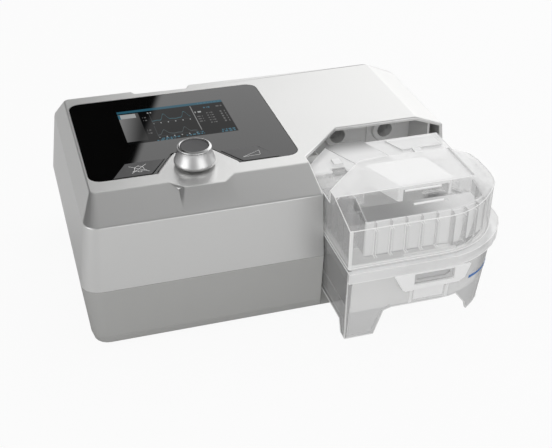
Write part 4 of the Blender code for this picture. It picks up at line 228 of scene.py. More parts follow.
class Graph:
    """One node tree, with the few node forms that the finishes share."""

    def __init__(self, owner: Material | bpy.types.World) -> None:
        """Open the owner's tree.

        Args:
            owner: the material or the world that the tree belongs to.
        """
        owner.use_nodes = True
        self.owner = owner
        self.tree = owner.node_tree
        self.shader = self.tree.nodes.get("Principled BSDF")

    @classmethod
    def of_material(cls, name: str) -> "Graph":
        """Start a new material and open its tree."""
        return cls(bpy.data.materials.new(name))

    def node(self, kind: str, settings: dict[str, object] | None = None,
             inputs: dict[int | str, object] | None = None) -> Node:
        """Add any node.

        Args:
            kind: the node's type.
            settings: its properties, set before its sockets.
            inputs: a value or a link for each named or numbered socket.

        Returns:
            The node.
        """
        made = self.tree.nodes.new(kind)
        for name, value in (settings or {}).items():
            if name == "stops":
                self.set_stops(made, value)
            else:
                setattr(made, name, value)
        for key, value in (inputs or {}).items():
            self.feed(made.inputs[key], value)
        return made

    @staticmethod
    def set_stops(ramp: Node, stops: Sequence[tuple[float, Colour]]) -> None:
        """Give a colour ramp its stops.

        Args:
            ramp: the ColorRamp node.
            stops: a place and a colour for each stop.
        """
        elements = ramp.color_ramp.elements
        while len(elements) < len(stops):
            elements.new(1.0)
        for element, (place, colour) in zip(elements, stops):
            element.position = place
            element.color = (*colour, 1.0)

    def feed(self, socket: Socket, value: object) -> None:
        """Set a socket's value, or link it.

        Args:
            socket: the input socket.
            value: a number, a vector, a colour, a wire or an output socket.
        """
        if isinstance(value, Wire):
            self.tree.links.new(value.socket, socket)
        elif isinstance(value, Socket):
            self.tree.links.new(value, socket)
        elif isinstance(value, tuple) and socket.type == "RGBA" and len(value) == 3:
            socket.default_value = (*value, 1.0)
        else:
            socket.default_value = value

    def maths(self, operation: str, *values: Wire | float) -> Wire:
        """Add a Math node and return its result."""
        made = self.node("ShaderNodeMath", {"operation": operation}, dict(enumerate(values)))
        return Wire(self, made.outputs[0])

    def smooth(self, value: Wire, low: float, high: float) -> Wire:
        """A soft step from nought at the low value to one at the high one."""
        made = self.node("ShaderNodeMapRange", {"interpolation_type": "SMOOTHSTEP"},
                         {"Value": value, "From Min": low, "From Max": high})
        return Wire(self, made.outputs[0])

    def facing(self) -> Wire:
        """How slantwise the surface is seen: nought face on, one edge on."""
        made = self.node("ShaderNodeLayerWeight", inputs={"Blend": 0.5})
        return Wire(self, made.outputs["Facing"])

    def coordinates(self) -> Socket:
        """The piece's own coordinates, which are the frame's."""
        return self.node("ShaderNodeTexCoord").outputs["Object"]

    def axes(self) -> tuple[Wire, Wire, Wire]:
        """The machine's own x, y and z, in metres, at each point of the surface."""
        x, y, z = self.split(self.coordinates())
        return x - PLACES.left, y - PLACES.front, z

    def split(self, vector: Socket) -> tuple[Wire, Wire, Wire]:
        """The x, y and z of a vector."""
        made = self.node("ShaderNodeSeparateXYZ", inputs={0: vector})
        return tuple(Wire(self, out) for out in made.outputs)

    @staticmethod
    def along(place: Sequence[Wire], way: Point) -> Wire:
        """How far a place lies along a way."""
        (x, y, z), (right, deep, up) = place, way
        return x * right + y * deep + z * up

    def noise(self, scale: float, detail: float = 2.0, stretch: Point | None = None) -> Wire:
        """A noise texture on the piece's coordinates.

        Args:
            scale: its scale, per metre.
            detail: how many octaves it has.
            stretch: a factor for each axis, for grain that runs one way.

        Returns:
            The noise, about one half on average.
        """
        where = self.coordinates()
        if stretch:
            where = self.node("ShaderNodeMapping", inputs={0: where, "Scale": stretch}).outputs[0]
        made = self.node("ShaderNodeTexNoise", inputs={
            "Vector": where, "Scale": scale, "Detail": detail})
        return Wire(self, made.outputs[0])

    def blend(self, factor: Wire | float, below: object, above: object) -> Socket:
        """Mix two colours.

        Args:
            factor: nought for the lower colour, one for the upper.
            below: the lower colour, or its socket.
            above: the upper colour, or its socket.

        Returns:
            The mixed colour's socket.
        """
        made = self.node("ShaderNodeMix", {"data_type": "RGBA"}, {0: factor, 6: below, 7: above})
        return made.outputs[2]

    def bump(self, height: Wire, depth: float) -> None:
        """Lead a height, whose unit stands out by a depth in metres, to the shader's normal."""
        made = self.node("ShaderNodeBump", inputs={"Strength": 1.0, "Distance": depth, "Height": height})
        self.feed(self.shader.inputs["Normal"], made.outputs[0])

    def mix_shader(self, factor: Wire, other: Node) -> None:
        """Mix another shader with the tree's own, and lead the result to the surface.

        Args:
            factor: nought for the tree's own shader, one for the other.
            other: the other shader's node.
        """
        made = self.node("ShaderNodeMixShader", inputs={
            0: factor, 1: self.shader.outputs[0], 2: other.outputs[0]})
        self.feed(self.tree.nodes["Material Output"].inputs["Surface"], made.outputs[0])

    def principled(self, **values: object) -> None:
        """Set or link the shader's sockets, named with underscores for spaces."""
        for name, value in values.items():
            self.feed(self.shader.inputs[name.replace("_", " ").title().replace("Ior", "IOR")], value)


@dataclass(frozen=True)
class Moulded:
    """Moulded plastic, rubber, foam or ink: slight colour drift, fine grain, uneven gloss."""

    name: str
    colour: Colour
    roughness: float = 0.4
    grain: float = 0.00002
    grain_scale: float = 2600.0
    drift: float = 0.03
    cloud_scale: float = 18.0
    gloss_scale: float = 160.0
    gloss_spread: float = 0.2

    def make(self) -> Material:
        """Build the material.

        Returns:
            The material, ready to be put on a piece.
        """
        graph = Graph.of_material(self.name)
        cloud = graph.noise(self.cloud_scale, 3.0)
        graph.principled(
            base_color=graph.blend(
                cloud, shade(self.colour, 1 - self.drift), shade(self.colour, 1 + self.drift)),
            roughness=self.roughness * graph.noise(self.gloss_scale, 4.0).near_one(self.gloss_spread))
        if self.grain:
            graph.bump(graph.noise(self.grain_scale), self.grain)
        return graph.owner


@dataclass(frozen=True)
class Paint:
    """Silver paint: metal flakes under a thin clear coat, with a faint orange peel."""

    name: str
    colour: Colour
    metallic: float = 0.80
    roughness: float = 0.34
    gloss_spread: float = 0.16
    flake: float = 0.10
    flake_scale: float = 9000.0
    cloud_scale: float = 14.0
    peel: float = 0.000004
    peel_scale: float = 900.0
    coat: float = 0.12
    coat_roughness: float = 0.2

    def make(self) -> Material:
        """Build the material.

        Returns:
            The material, with its flakes in colour and gloss and its peel in the normal.
        """
        graph = Graph.of_material(self.name)
        flakes = graph.noise(self.flake_scale, 1.0)
        cloud = graph.noise(self.cloud_scale, 3.0)
        mixture = 0.35 + 0.3 * flakes + 0.1 * (cloud - 0.5)
        graph.principled(
            base_color=graph.blend(
                mixture, shade(self.colour, 1 - self.flake), shade(self.colour, 1 + self.flake)),
            metallic=self.metallic, roughness=self.roughness * cloud.near_one(self.gloss_spread),
            coat_weight=self.coat, coat_roughness=self.coat_roughness)
        graph.bump(graph.noise(self.peel_scale) + 0.4 * flakes, self.peel)
        return graph.owner


@dataclass(frozen=True)
class Zone:
    """A box of the machine's own frame in which a clear finish takes another colour and alpha: painted
    light where it is whiter, painted shade where it is darker.

    A side that isn't given is open, and soft is how far the change reaches to both sides of a limit.
    """

    colour: Colour
    alpha: float
    left: float | None = None
    right: float | None = None
    front: float | None = None
    back: float | None = None
    low: float | None = None
    high: float | None = None
    soft: float = 0.0

    def inside(self, axes: Sequence[Wire]) -> Wire | float:
        """Find where the zone is.

        Args:
            axes: the place, as x, y and z.

        Returns:
            One inside the box, else nought.
        """
        mask: Wire | float = 1.0
        limits = ((self.left, self.right), (self.front, self.back), (self.low, self.high))
        for value, (least, most) in zip(axes, limits):
            if least is not None:
                mask = mask * (value.graph.smooth(value, *about(least, self.soft))
                               if self.soft else value > least)
            if most is not None:
                mask = mask * (1.0 - value.graph.smooth(value, *about(most, self.soft))
                               if self.soft else value < most)
        return mask


@dataclass(frozen=True)
class Clear:
    """Clear moulded plastic: see-through face on, whiter at a slant, with painted light and shade in its
    zones; lamps shine through it.
    """

    name: str
    colour: Colour = (0.93, 0.93, 0.925)
    alpha: float = 0.10
    slant_gain: float = 0.35
    slants: Flat = (0.45, 0.95)
    roughness: float = 0.10
    zones: tuple[Zone, ...] = ()
    passed: float = 0.85
    cloud_scale: float = 45.0
    cloud_shade: float = 0.97
    cloud_alpha: float = 0.02
    gloss_scale: float = 90.0
    gloss_spread: float = 0.4
    ripple: float = 0.00001
    ior: float = 1.58

    def make(self) -> Material:
        """Build the material.

        Returns:
            The material, with an alpha that grows towards grazing angles and in its zones.
        """
        graph = Graph.of_material(self.name)
        cloud = graph.noise(self.cloud_scale, 3.0)
        colour = graph.blend(cloud, shade(self.colour, self.cloud_shade), self.colour)
        alpha: Wire | float = self.alpha + self.cloud_alpha * (cloud - 0.5)
        axes = graph.axes()
        # Each zone paints its light and shade into the colour and the alpha.
        for zone in self.zones:
            mask = zone.inside(axes)
            colour = graph.blend(mask, colour, zone.colour)
            alpha = alpha + mask * (zone.alpha - alpha)
        slant = graph.smooth(graph.facing(), *self.slants) * self.slant_gain
        gloss = graph.noise(self.gloss_scale, 3.0).near_one(self.gloss_spread)
        graph.principled(base_color=colour, alpha=alpha + slant * (1.0 - alpha), ior=self.ior,
                         roughness=self.roughness * gloss)
        graph.bump(cloud, self.ripple)
        path = graph.node("ShaderNodeLightPath")
        light = Wire(graph, path.outputs["Is Shadow Ray"]).maths(
            "MAXIMUM", Wire(graph, path.outputs["Is Diffuse Ray"]))
        graph.mix_shader(light * self.passed, graph.node("ShaderNodeBsdfTransparent"))
        return graph.owner


@dataclass(frozen=True)
class Metal:
    """Bright metal with a fine brushed grain."""

    name: str
    colour: Colour
    roughness: float = 0.28
    brush: Point = (1.0, 1.0, 1.0)
    brush_scale: float = 900.0
    brush_shade: float = 0.94
    brush_depth: float = 0.000002
    gloss_spread: float = 0.3

    def make(self) -> Material:
        """Build the material.

        Returns:
            The material.
        """
        graph = Graph.of_material(self.name)
        streak = graph.noise(self.brush_scale, 3.0, self.brush)
        graph.principled(
            base_color=graph.blend(streak, shade(self.colour, self.brush_shade), self.colour),
            metallic=1.0, roughness=self.roughness * streak.near_one(self.gloss_spread))
        graph.bump(streak, self.brush_depth)
        return graph.owner


@dataclass(frozen=True)
class Board:
    """A circuit board: green mask over fine copper tracks."""

    name: str
    mask: Colour = (0.015, 0.10, 0.045)
    copper: Colour = (0.05, 0.20, 0.07)
    pitch: float = 0.0016
    track: float = 0.55
    track_depth: float = 0.00003
    field_scale: float = 120.0

    def make(self) -> Material:
        """Build the material.

        Returns:
            The material, with tracks along x and y.
        """
        graph = Graph.of_material(self.name)
        x, y, _ = graph.axes()
        turns = math.tau / self.pitch
        field = graph.noise(self.field_scale, 0.0)
        along = ((x * turns).sine() > self.track) * (field > 0.5)
        across = ((y * turns).sine() > self.track) * (field < 0.5)
        tracks = along.maths("MAXIMUM", across)
        graph.principled(
            base_color=graph.blend(tracks, self.mask, self.copper),
            roughness=0.35 + 0.1 * graph.noise(300.0))
        graph.bump(tracks, self.track_depth)
        return graph.owner


@dataclass(frozen=True)
class Patch:
    """A plain rectangle on the panel.  Its places run from nought to one, across and down."""

    across: Flat
    down: Flat
    colour: Colour | Socket

    def lay(self, graph: Graph, place: tuple[Wire, Wire], light: Socket) -> Socket:
        """Lay the rectangle over the panel's light.

        Args:
            graph: the window's graph.
            place: the place across and down the panel.
            light: what lies under the rectangle.

        Returns:
            The light with the rectangle on it.
        """
        across, down = place
        return graph.blend(across.between(*self.across) * down.between(*self.down), light, self.colour)


@dataclass(frozen=True)
class Words:
    """A row of short dashes, such as small type leaves when it is too small to read."""

    across: Flat
    row: float
    tall: float
    beat: float
    colour: Colour
    second_beat: float = 1.73
    second_size: float = 0.8
    gap_below: float = -0.25

    def lay(self, graph: Graph, place: tuple[Wire, Wire], light: Socket) -> Socket:
        """Lay the dashes over the panel's light.

        Args:
            graph: the window's graph.
            place: the place across and down the panel.
            light: what lies under the dashes.

        Returns:
            The light with the dashes on it.
        """
        across, down = place
        second = (across * (self.beat * self.second_beat)).sine() * self.second_size
        dash = (across * self.beat).sine() + second
        line = across.between(*self.across) * down.between(*about(self.row, self.tall / 2))
        return graph.blend(line * (dash > self.gap_below), light, self.colour)


@dataclass(frozen=True)
class Curve:
    """A breathing curve over its base line."""

    base: float
    height: float
    phase: float
    colour: Colour
    span: Flat = (0.285, 0.645)
    beat: float = 33.0
    sharpness: float = 5.0
    ripple_beat: float = 90.0
    ripple: float = 0.006
    thick: float = 0.011

    def lay(self, graph: Graph, place: tuple[Wire, Wire], light: Socket) -> Socket:
        """Lay the curve over the panel's light.

        Args:
            graph: the window's graph.
            place: the place across and down the panel.
            light: what lies under the curve.

        Returns:
            The light with the curve on it.
        """
        across, down = place
        pulse = ((across * self.beat + self.phase).sine() * 0.5 + 0.5) ** self.sharpness
        line = self.base - self.height * pulse + (across * self.ripple_beat).sine() * self.ripple
        return graph.blend(across.between(*self.span) * (abs(down - line) < self.thick),
                           light, self.colour)


@dataclass(frozen=True)
class Ticks:
    """A row of small marks under a curve."""

    row: float
    colour: Colour
    span: Flat = (0.29, 0.655)
    beat: float = 92.0
    narrow: float = 0.90
    half: float = 0.014

    def lay(self, graph: Graph, place: tuple[Wire, Wire], light: Socket) -> Socket:
        """Lay the marks over the panel's light.

        Args:
            graph: the window's graph.
            place: the place across and down the panel.
            light: what lies under the marks.

        Returns:
            The light with the marks on it.
        """
        across, down = place
        dots = ((across * self.beat).sine() > self.narrow) * across.between(*self.span)
        return graph.blend(dots * down.between(*about(self.row, self.half)), light, self.colour)


@dataclass(frozen=True)
class Screen:
    """The black window with the lit panel that shows through it: a menu, two curves and readings."""

    name: str = "window_glass"
    left: float = 0.0452
    right: float = 0.1186
    front: float = 0.0868
    back: float = 0.1358
    teal: Colour = (0.020, 0.085, 0.125)
    bright: Colour = (0.035, 0.12, 0.17)
    pale: Colour = (0.34, 0.35, 0.35)
    grey: Colour = (0.11, 0.11, 0.11)
    rule: Colour = (0.03, 0.032, 0.034)
    unlit: Colour = (0.0022, 0.0024, 0.0026)
    blacks: Flat = (0.0008, 0.0014)
    menu_fade: Flat = (0.20, 0.012)
    menu_reach: float = 0.33
    line: float = 0.004
    line_pitch: float = 0.075
    panel_gloss: float = 0.28
    coat_roughness: float = 0.025
    coat_ior: float = 1.62

    def menu(self, graph: Graph, place: tuple[Wire, Wire]) -> Patch:
        """The menu down the panel's left side, which fades to the right."""
        across, down = place
        fade = graph.smooth(across + 0.15 * down, 0.0, self.menu_reach)
        light, dark = self.menu_fade
        return Patch((0.0, 0.19), (0.10, 0.93), graph.blend(fade, grey(light), grey(dark)))

    def marks(self) -> list[Patch | Curve | Ticks]:
        """The menu's open tab, the rules round the curves, the curves, and the marks under them.

        Returns:
            The marks, from the lowest to the topmost.
        """
        tab, post = (0.11, 0.235), about(0.285, 0.003)
        marks = [Patch((0.005, 0.16), tab, self.pale), Patch((0.0, 0.02), tab, self.bright)]
        marks += [Patch((0.285, 0.655), about(row, self.line), self.rule) for row in (0.45, 0.87)]
        marks += [Patch(post, span, self.rule) for span in ((0.13, 0.47), (0.55, 0.89))]
        marks.append(Patch(about(0.685, self.line), (0.09, 0.84), grey(0.22)))
        marks.append(Curve(0.40, 0.17, 0.6, (0.030, 0.085, 0.105)))
        marks.append(Curve(0.83, 0.13, 2.4, (0.05, 0.065, 0.07)))
        return marks + [Ticks(row, self.pale) for row in (0.485, 0.905)]

    def words(self) -> list[Words]:
        """The rows of dashes.

        Returns:
            The bar's and the panel's rows, then the menu's, and the three columns of readings.
        """
        rows = [Words((0.70, 0.74), 0.035, 0.05, 40.0, self.pale),
                Words((0.76, 0.985), 0.035, 0.035, 190.0, self.bright),
                Words((0.27, 0.31), 0.14, 0.03, 170.0, self.pale),
                Words((0.80, 0.86), 0.185, 0.04, 150.0, self.bright),
                Words((0.91, 0.985), 0.185, 0.035, 170.0, self.grey),
                Words((0.70, 0.76), 0.30, 0.045, 120.0, self.pale),
                Words((0.30, 0.47), 0.945, 0.035, 180.0, self.bright),
                Words((0.53, 0.70), 0.945, 0.035, 180.0, self.bright),
                Words((0.62, 0.70), 0.895, 0.03, 150.0, self.bright),
                Words((0.26, 0.42), 0.985, 0.025, 150.0, self.bright),
                Words((0.85, 0.985), 0.915, 0.035, 190.0, self.bright),
                Words((0.85, 0.985), 0.965, 0.035, 170.0, self.bright)]
        rows += [Words((0.205, 0.245), row, 0.03, 140.0, self.grey) for row in (0.27, 0.36, 0.66, 0.75)]
        for span, first, count, tall, beat in (((0.70, 0.755), 0.44, 3, 0.028, 160.0),
                                               ((0.80, 0.87), 0.36, 5, 0.028, 150.0),
                                               ((0.93, 0.98), 0.36, 5, 0.045, 90.0)):
            rows += [Words(span, first + self.line_pitch * step, tall, beat, self.grey)
                     for step in range(count)]
        return rows

    def make(self) -> Material:
        """Build the material.

        Returns:
            The material: gloss over black, and the panel's light through it.
        """
        graph = Graph.of_material(self.name)
        x, y, _ = graph.axes()
        across = (x - self.left) / (self.right - self.left)
        down = (self.back - y) / (self.back - self.front)
        panel = across.between(0.0, 1.0) * down.between(0.0, 1.0)
        light = graph.blend(panel, grey(0.0), self.unlit)
        bar = Patch((0.0, 1.0), (0.0, 0.072), self.teal)
        for mark in (bar, self.menu(graph, (across, down)), *self.marks(), *self.words()):
            light = mark.lay(graph, (across, down), light)
        darkest, dark = self.blacks
        graph.principled(
            base_color=graph.blend(graph.noise(30.0), grey(darkest), grey(dark)),
            emission_color=light, emission_strength=1.0, roughness=0.4, specular_ior_level=0.0,
            coat_weight=1.0 - (1.0 - self.panel_gloss) * panel, coat_roughness=self.coat_roughness,
            coat_ior=self.coat_ior)
        return graph.owner


class Finishes:
    """Every finish of the machine, made once and shared by the pieces."""

    def __init__(self, plan: "Plan") -> None:
        """Make the materials.

        Args:
            plan: the tank's shape, which the clear finishes' zones follow.
        """
        self.silver = Paint("silver_paint", (0.77, 0.77, 0.762)).make()
        self.grey = Moulded("grey_plastic", (0.44, 0.44, 0.43), 0.48, grain=0.00004).make()
        self.liner = Moulded("bay_plastic", (0.74, 0.74, 0.735), 0.45, grain=0.00003).make()
        self.black = Moulded("black_plastic", (0.025, 0.025, 0.027), 0.45).make()
        self.window = Screen().make()
        self.panel = Moulded("lcd_screen", (0.02, 0.022, 0.025), 0.3, grain=0.0).make()
        self.key = Moulded("key_plastic", (0.055, 0.055, 0.056), 0.32, grain=0.00001).make()
        # The keys' rounded rims are nearly black: painted shade along their edges.
        self.key_rim_shade = Moulded("key_rim_shade", grey(0.006), 0.4, grain=0.0).make()
        self.ink = Moulded("white_ink", grey(0.80), 0.5, grain=0.0).make()
        self.blue = Moulded("blue_ink", (0.03, 0.17, 0.52), 0.4, grain=0.0).make()
        self.white = Moulded("white_plastic", (0.98, 0.98, 0.975), 0.3, grain=0.00001).make()
        self.silicone = Moulded("silicone", (0.74, 0.74, 0.735), 0.5).make()
        self.duct = Moulded("duct_silicone", grey(0.85), 0.5).make()
        self.seal = Moulded("rim_silicone", grey(0.74), 0.5).make()
        self.rubber = Moulded("foot_rubber", grey(0.03), 0.75, grain=0.00004).make()
        self.board = Board("circuit_board").make()
        self.foam = Moulded("filter_foam", (0.70, 0.70, 0.67), 0.9, grain=0.0003, grain_scale=900.0).make()
        self.disc = Moulded("knob_disc", (0.062, 0.062, 0.064), 0.45, grain=0.00001).make()
        self.chrome = Metal("satin_chrome", grey(0.80), 0.36, (1.0, 1.0, 5.0)).make()
        self.steel = Metal("steel", (0.60, 0.60, 0.61), 0.3, (1.0, 12.0, 1.0)).make()
        self.lid = Clear("clear_lid", alpha=0.20, zones=self.lid_zones(plan)).make()
        self.tub = Clear("clear_tub", (0.90, 0.90, 0.895), alpha=0.55, zones=self.tub_zones(plan)).make()
        self.cover = Clear("clear_cover", alpha=0.25, zones=self.cover_zones(plan)).make()
        # The channel darkens towards the back: painted shade under the bay's roof.
        self.channel = Clear("clear_channel", grey(0.86), alpha=0.90, roughness=0.3, zones=(
            Zone(grey(0.32), 0.90, front=0.0540, soft=0.0095),)).make()
        # Whiter, more opaque clear plastic: painted highlights on edges and corners, and the pale cells
        # and posts.
        self.pale_clear_and_highlights = Clear("pale_clear_and_highlights", (0.97, 0.97, 0.965), alpha=0.72, roughness=0.2).make()
        # The cells' inner wall is darker at its front left, under the front slope: painted shade.
        self.frosted = Clear("frosted_plastic", grey(0.95), alpha=0.55, roughness=0.4, zones=(
            Zone(grey(0.36), 0.45, right=0.1662, front=-0.0317, back=-0.0124),)).make()
        self.bar = Clear("bright_bar", grey(0.97), alpha=0.92, roughness=0.2).make()
        self.divider = Clear("cell_divider", grey(0.40), alpha=0.42, roughness=0.3).make()
        # Grey clear plastic: painted shade along the lid's crease, and the outline that shows through the
        # left foot.
        self.crease = Clear("crease_shade_and_line_plastic", grey(0.72), alpha=0.60, roughness=0.3).make()
        # The catch is white plastic; its grey is painted shade in its recess.
        self.catch = Moulded("catch_painted_shade", grey(0.62), 0.35, grain=0.00001).make()
        # The lid's floor plate is dark on the left and pale on the right: painted shade and painted light.
        self.floor_light_and_shade = Clear("floor_painted_light_and_shade", grey(0.36), alpha=0.85, roughness=0.4, zones=(
            Zone(grey(0.92), 0.80, left=0.2200, soft=0.030),)).make()

    @staticmethod
    def lid_zones(plan: "Plan") -> tuple[Zone, ...]:
        """Find the lid's front slope, flat top, right slope, round wall and left wall, and the light and
        shade painted on each.

        Args:
            plan: the tank's shape.

        Returns:
            The zones, in that order.
        """
        hair = plan.hair
        # The flat top white, the right slope pale grey, and the front slope, the round wall and the left
        # wall darker grey: painted light and painted shade.
        return (
            Zone(grey(0.62), 0.08, front=plan.front + 3 * hair, back=plan.crease + hair,
                 low=plan.roof_low, high=0.0950),
            Zone(grey(0.97), 0.55, front=plan.crease - hair, low=plan.roof_high - 4 * hair),
            Zone(grey(0.86), 0.42, left=plan.crease_right - 2 * hair, front=plan.front + 3 * hair,
                 low=plan.roof_low, high=plan.roof_high),
            Zone(grey(0.50), 0.30, left=0.2500, high=plan.roof_low, soft=0.004),
            Zone(grey(0.36), 0.45, right=plan.left + 2 * hair, high=plan.roof_high - 6 * hair))

    @staticmethod
    def tub_zones(plan: "Plan") -> tuple[Zone, ...]:
        """Find the tub's flange, round wall, front foot and left wall, and the flange's left side, and the
        light and shade painted there.

        Args:
            plan: the tank's shape.

        Returns:
            The zones, in that order.
        """
        rim = plan.flange - 2 * plan.hair
        # The flange whiter and the front foot greyer; painted shade on the round wall and the left wall,
        # and a painted shadow in the gap along the flange's left side.
        return (
            Zone(grey(0.95), 0.60, low=rim),
            Zone(grey(0.38), 0.70, left=0.2440, high=rim, soft=0.004),
            Zone(grey(0.66), 0.72, back=-0.020, high=0.0258),
            Zone(grey(0.26), 0.62, right=0.1536, high=rim),
            Zone(grey(0.30), 0.62, right=0.1530, front=-0.0385, low=rim))

    @staticmethod
    def cover_zones(plan: "Plan") -> tuple[Zone, ...]:
        """The cover's top and its left wall: painted light on the top, painted shade on the left wall."""
        top = 0.0855
        return (Zone(grey(0.97), 0.72, low=top),
                Zone(grey(0.40), 0.45, right=plan.left + 2 * plan.hair, high=top))


def dress_frame(finishes: Finishes) -> None:
    """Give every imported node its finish.

    Args:
        finishes: the machine's finishes.
    """
    plan = {
        "silver": ("upper_housing",),
        "grey": ("lower_housing", "filter_cover", "outlet_port", "heater_block"),
        "liner": ("bay_liner",),
        "window": ("display_window",),
        "panel": ("lcd_module",),
        "key": ("mute_key", "ramp_key"),
        "chrome": ("knob",),
        "disc": ("knob_disc",),
        "tub": ("tank_tub",),
        "lid": ("tank_lid",),
        "cover": ("tank_rear_cover",),
        "white": ("pull_handle", "release_catch", "air_guide"),
        "silicone": ("supply_seal", "return_seal",
                     "blower_mount_1", "blower_mount_2", "blower_mount_3"),
        "duct": ("supply_duct", "return_duct"),
        "seal": ("rim_seal",),
        "rubber": ("rubber_foot_1", "rubber_foot_2", "rubber_foot_3", "rubber_foot_4"),
        "steel": ("encoder", "encoder_shaft", "encoder_plunger", "hinge_pin_left", "hinge_pin_right",
                  "motor", "heater_plate", "tank_base_plate", "board_screw_1", "board_screw_2",
                  "board_screw_3", "board_screw_4", "card_socket"),
        "board": ("main_board", "power_board"),
        "black": ("mute_switch", "ramp_switch", "power_inlet", "memory_card", "power_choke",
                  "scroll_lower", "scroll_upper", "impeller"),
        "foam": ("air_filter", "inlet_muffler"),
    }
    for finish, names in plan.items():
        for name in names:
            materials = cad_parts[name].data.materials
            materials.clear()
            materials.append(getattr(finishes, finish))


class Bench:
    """The modelling steps that the pieces share, each done with Blender's own operators."""

    @staticmethod
    def clear() -> None:
        """Leave edit mode and deselect everything."""
        active = bpy.context.view_layer.objects.active
        if active and active.mode != "OBJECT":
            bpy.ops.object.mode_set(mode="OBJECT")
        bpy.ops.object.select_all(action="DESELECT")

    @staticmethod
    def pick(piece: Piece) -> None:
        """Select one piece alone, in object mode."""
        Bench.clear()
        piece.select_set(True)
        bpy.context.view_layer.objects.active = piece

    @staticmethod
    def edit(piece: Piece, kind: str = "VERT") -> None:
        """Select one piece alone, open it for editing and select all of its mesh.

        Args:
            piece: the piece.
            kind: what is selected from here on, VERT, EDGE or FACE.
        """
        Bench.pick(piece)
        bpy.ops.object.mode_set(mode="EDIT")
        bpy.ops.mesh.select_mode(type=kind)
        bpy.ops.mesh.select_all(action="SELECT")

    @staticmethod
    def face_outwards() -> None:
        """Point every face of the open piece outwards, and leave edit mode."""
        bpy.ops.mesh.select_all(action="SELECT")
        bpy.ops.mesh.normals_make_consistent(inside=False)
        bpy.ops.object.mode_set(mode="OBJECT")

    @staticmethod
    def coat(piece: Piece, finishes: Sequence[Material]) -> None:
        """Give a piece its materials in place of those that it has."""
        piece.data.materials.clear()
        for material in finishes:
            piece.data.materials.append(material)

    @staticmethod
    def modify(piece: Piece, kind: str, **settings: object) -> None:
        """Put one modifier on the active piece and apply it.

        Args:
            piece: the active piece.
            kind: the modifier's type.
            settings: its properties.
        """
        bpy.ops.object.modifier_add(type=kind)
        modifier = piece.modifiers[-1]
        for name, value in settings.items():
            setattr(modifier, name, value)
        bpy.ops.object.modifier_apply(modifier=modifier.name)

    @staticmethod
    def round_place(node: str) -> tuple[Vector, float, float]:
        """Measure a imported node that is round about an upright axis.

        Args:
            node: the node.

        Returns:
            The middle of its underside, its radius and its height.
        """
        low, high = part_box(node)
        base = (low + high) / 2
        base.z = low.z
        return base, (high.x - low.x) / 2, high.z - low.z

    @staticmethod
    def copy(node: str, name: str, finishes: Sequence[Material]) -> Piece:
        """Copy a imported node's mesh into a new piece, merged and freed of its flat cuts.

        Args:
            node: the node.
            name: the new piece's name.
            finishes: its materials, the first for its faces and the next for its rounded edges.

        Returns:
            The piece, in object mode.
        """
        piece = bpy.data.objects.new(name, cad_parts[node].data.copy())
        bpy.context.scene.collection.objects.link(piece)
        Bench.coat(piece, finishes)
        Bench.edit(piece)
        bpy.ops.mesh.customdata_custom_splitnormals_clear()
        bpy.ops.mesh.remove_doubles(threshold=MERGE)
        bpy.ops.mesh.dissolve_limited(angle_limit=math.radians(FLAT_ANGLE))
        bpy.ops.object.mode_set(mode="OBJECT")
        return piece

    @staticmethod
    def pick_edges(piece: Piece, wanted: EdgeTest) -> int:
        """Select the edges of an open piece that pass a test.

        Args:
            piece: the piece, in edit mode.
            wanted: the test.

        Returns:
            How many edges passed.
        """
        bpy.ops.mesh.select_mode(type="EDGE")
        bpy.ops.mesh.select_all(action="DESELECT")
        mesh = bmesh.from_edit_mesh(piece.data)
        passed = [edge for edge in mesh.edges if wanted(edge)]
        for edge in passed:
            edge.select_set(True)
        bmesh.update_edit_mesh(piece.data)
        return len(passed)

    @staticmethod
    def round_edges(piece: Piece, width: float, steps: int, wanted: EdgeTest,
                    finish: int = -1) -> None:
        """Round the edges between two faces that pass a test.

        Args:
            piece: the piece.
            width: the bevel's width.
            steps: its segments.
            wanted: the test.
            finish: the material of the rounded faces, by its number on the piece.
        """
        Bench.edit(piece, "EDGE")
        if Bench.pick_edges(piece, lambda edge: edge.is_manifold and wanted(edge)):
            bpy.ops.mesh.bevel(offset=width, segments=steps, profile=0.5, clamp_overlap=False,
                               material=finish, miter_outer="SHARP")
        bpy.ops.object.mode_set(mode="OBJECT")

    @staticmethod
    def soften(node: str, name: str, finish: Material, width: float, wanted: EdgeTest,
               body: Body, slot: Slot) -> None:
        """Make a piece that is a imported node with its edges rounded.

        Args:
            node: the node.
            name: the new piece's name.
            finish: its material.
            width: how far its edges are rounded.
            wanted: the test for the edges that are rounded.
            body: the body that it moves with.
            slot: the record's slot.
        """
        piece = Bench.copy(node, name, [finish])
        Bench.round_edges(piece, width, 2, wanted)
        Bench.finish(piece, body, slot, [node])

    @staticmethod
    def slab(name: str, outline: Sequence[Vector], push: Vector,
             finishes: Sequence[Material]) -> Piece:
        """Give a closed outline thickness.

        Args:
            name: the new piece's name.
            outline: the outline's points, in the frame.
            push: the way and the distance that it is extruded.
            finishes: its materials.

        Returns:
            The piece, in object mode.
        """
        piece = Bench.ring(name, outline, "NGON", finishes)
        Bench.edit(piece, "FACE")
        bpy.ops.mesh.extrude_region_move(TRANSFORM_OT_translate={"value": push})
        Bench.face_outwards()
        return piece

    @staticmethod
    def ring(name: str, outline: Sequence[Vector], fill: str, finishes: Sequence[Material]) -> Piece:
        """Add a circle and set its corners on a closed outline.

        Args:
            name: the new piece's name.
            outline: the outline's points, in the frame.
            fill: NGON for a face, NOTHING for a bare outline.
            finishes: its materials.

        Returns:
            The piece, in object mode.
        """
        Bench.clear()
        bpy.ops.mesh.primitive_circle_add(vertices=len(outline), fill_type=fill)
        piece = bpy.context.object
        piece.name = name
        for vertex, place in zip(piece.data.vertices, outline):
            vertex.co = place
        Bench.coat(piece, finishes)
        return piece

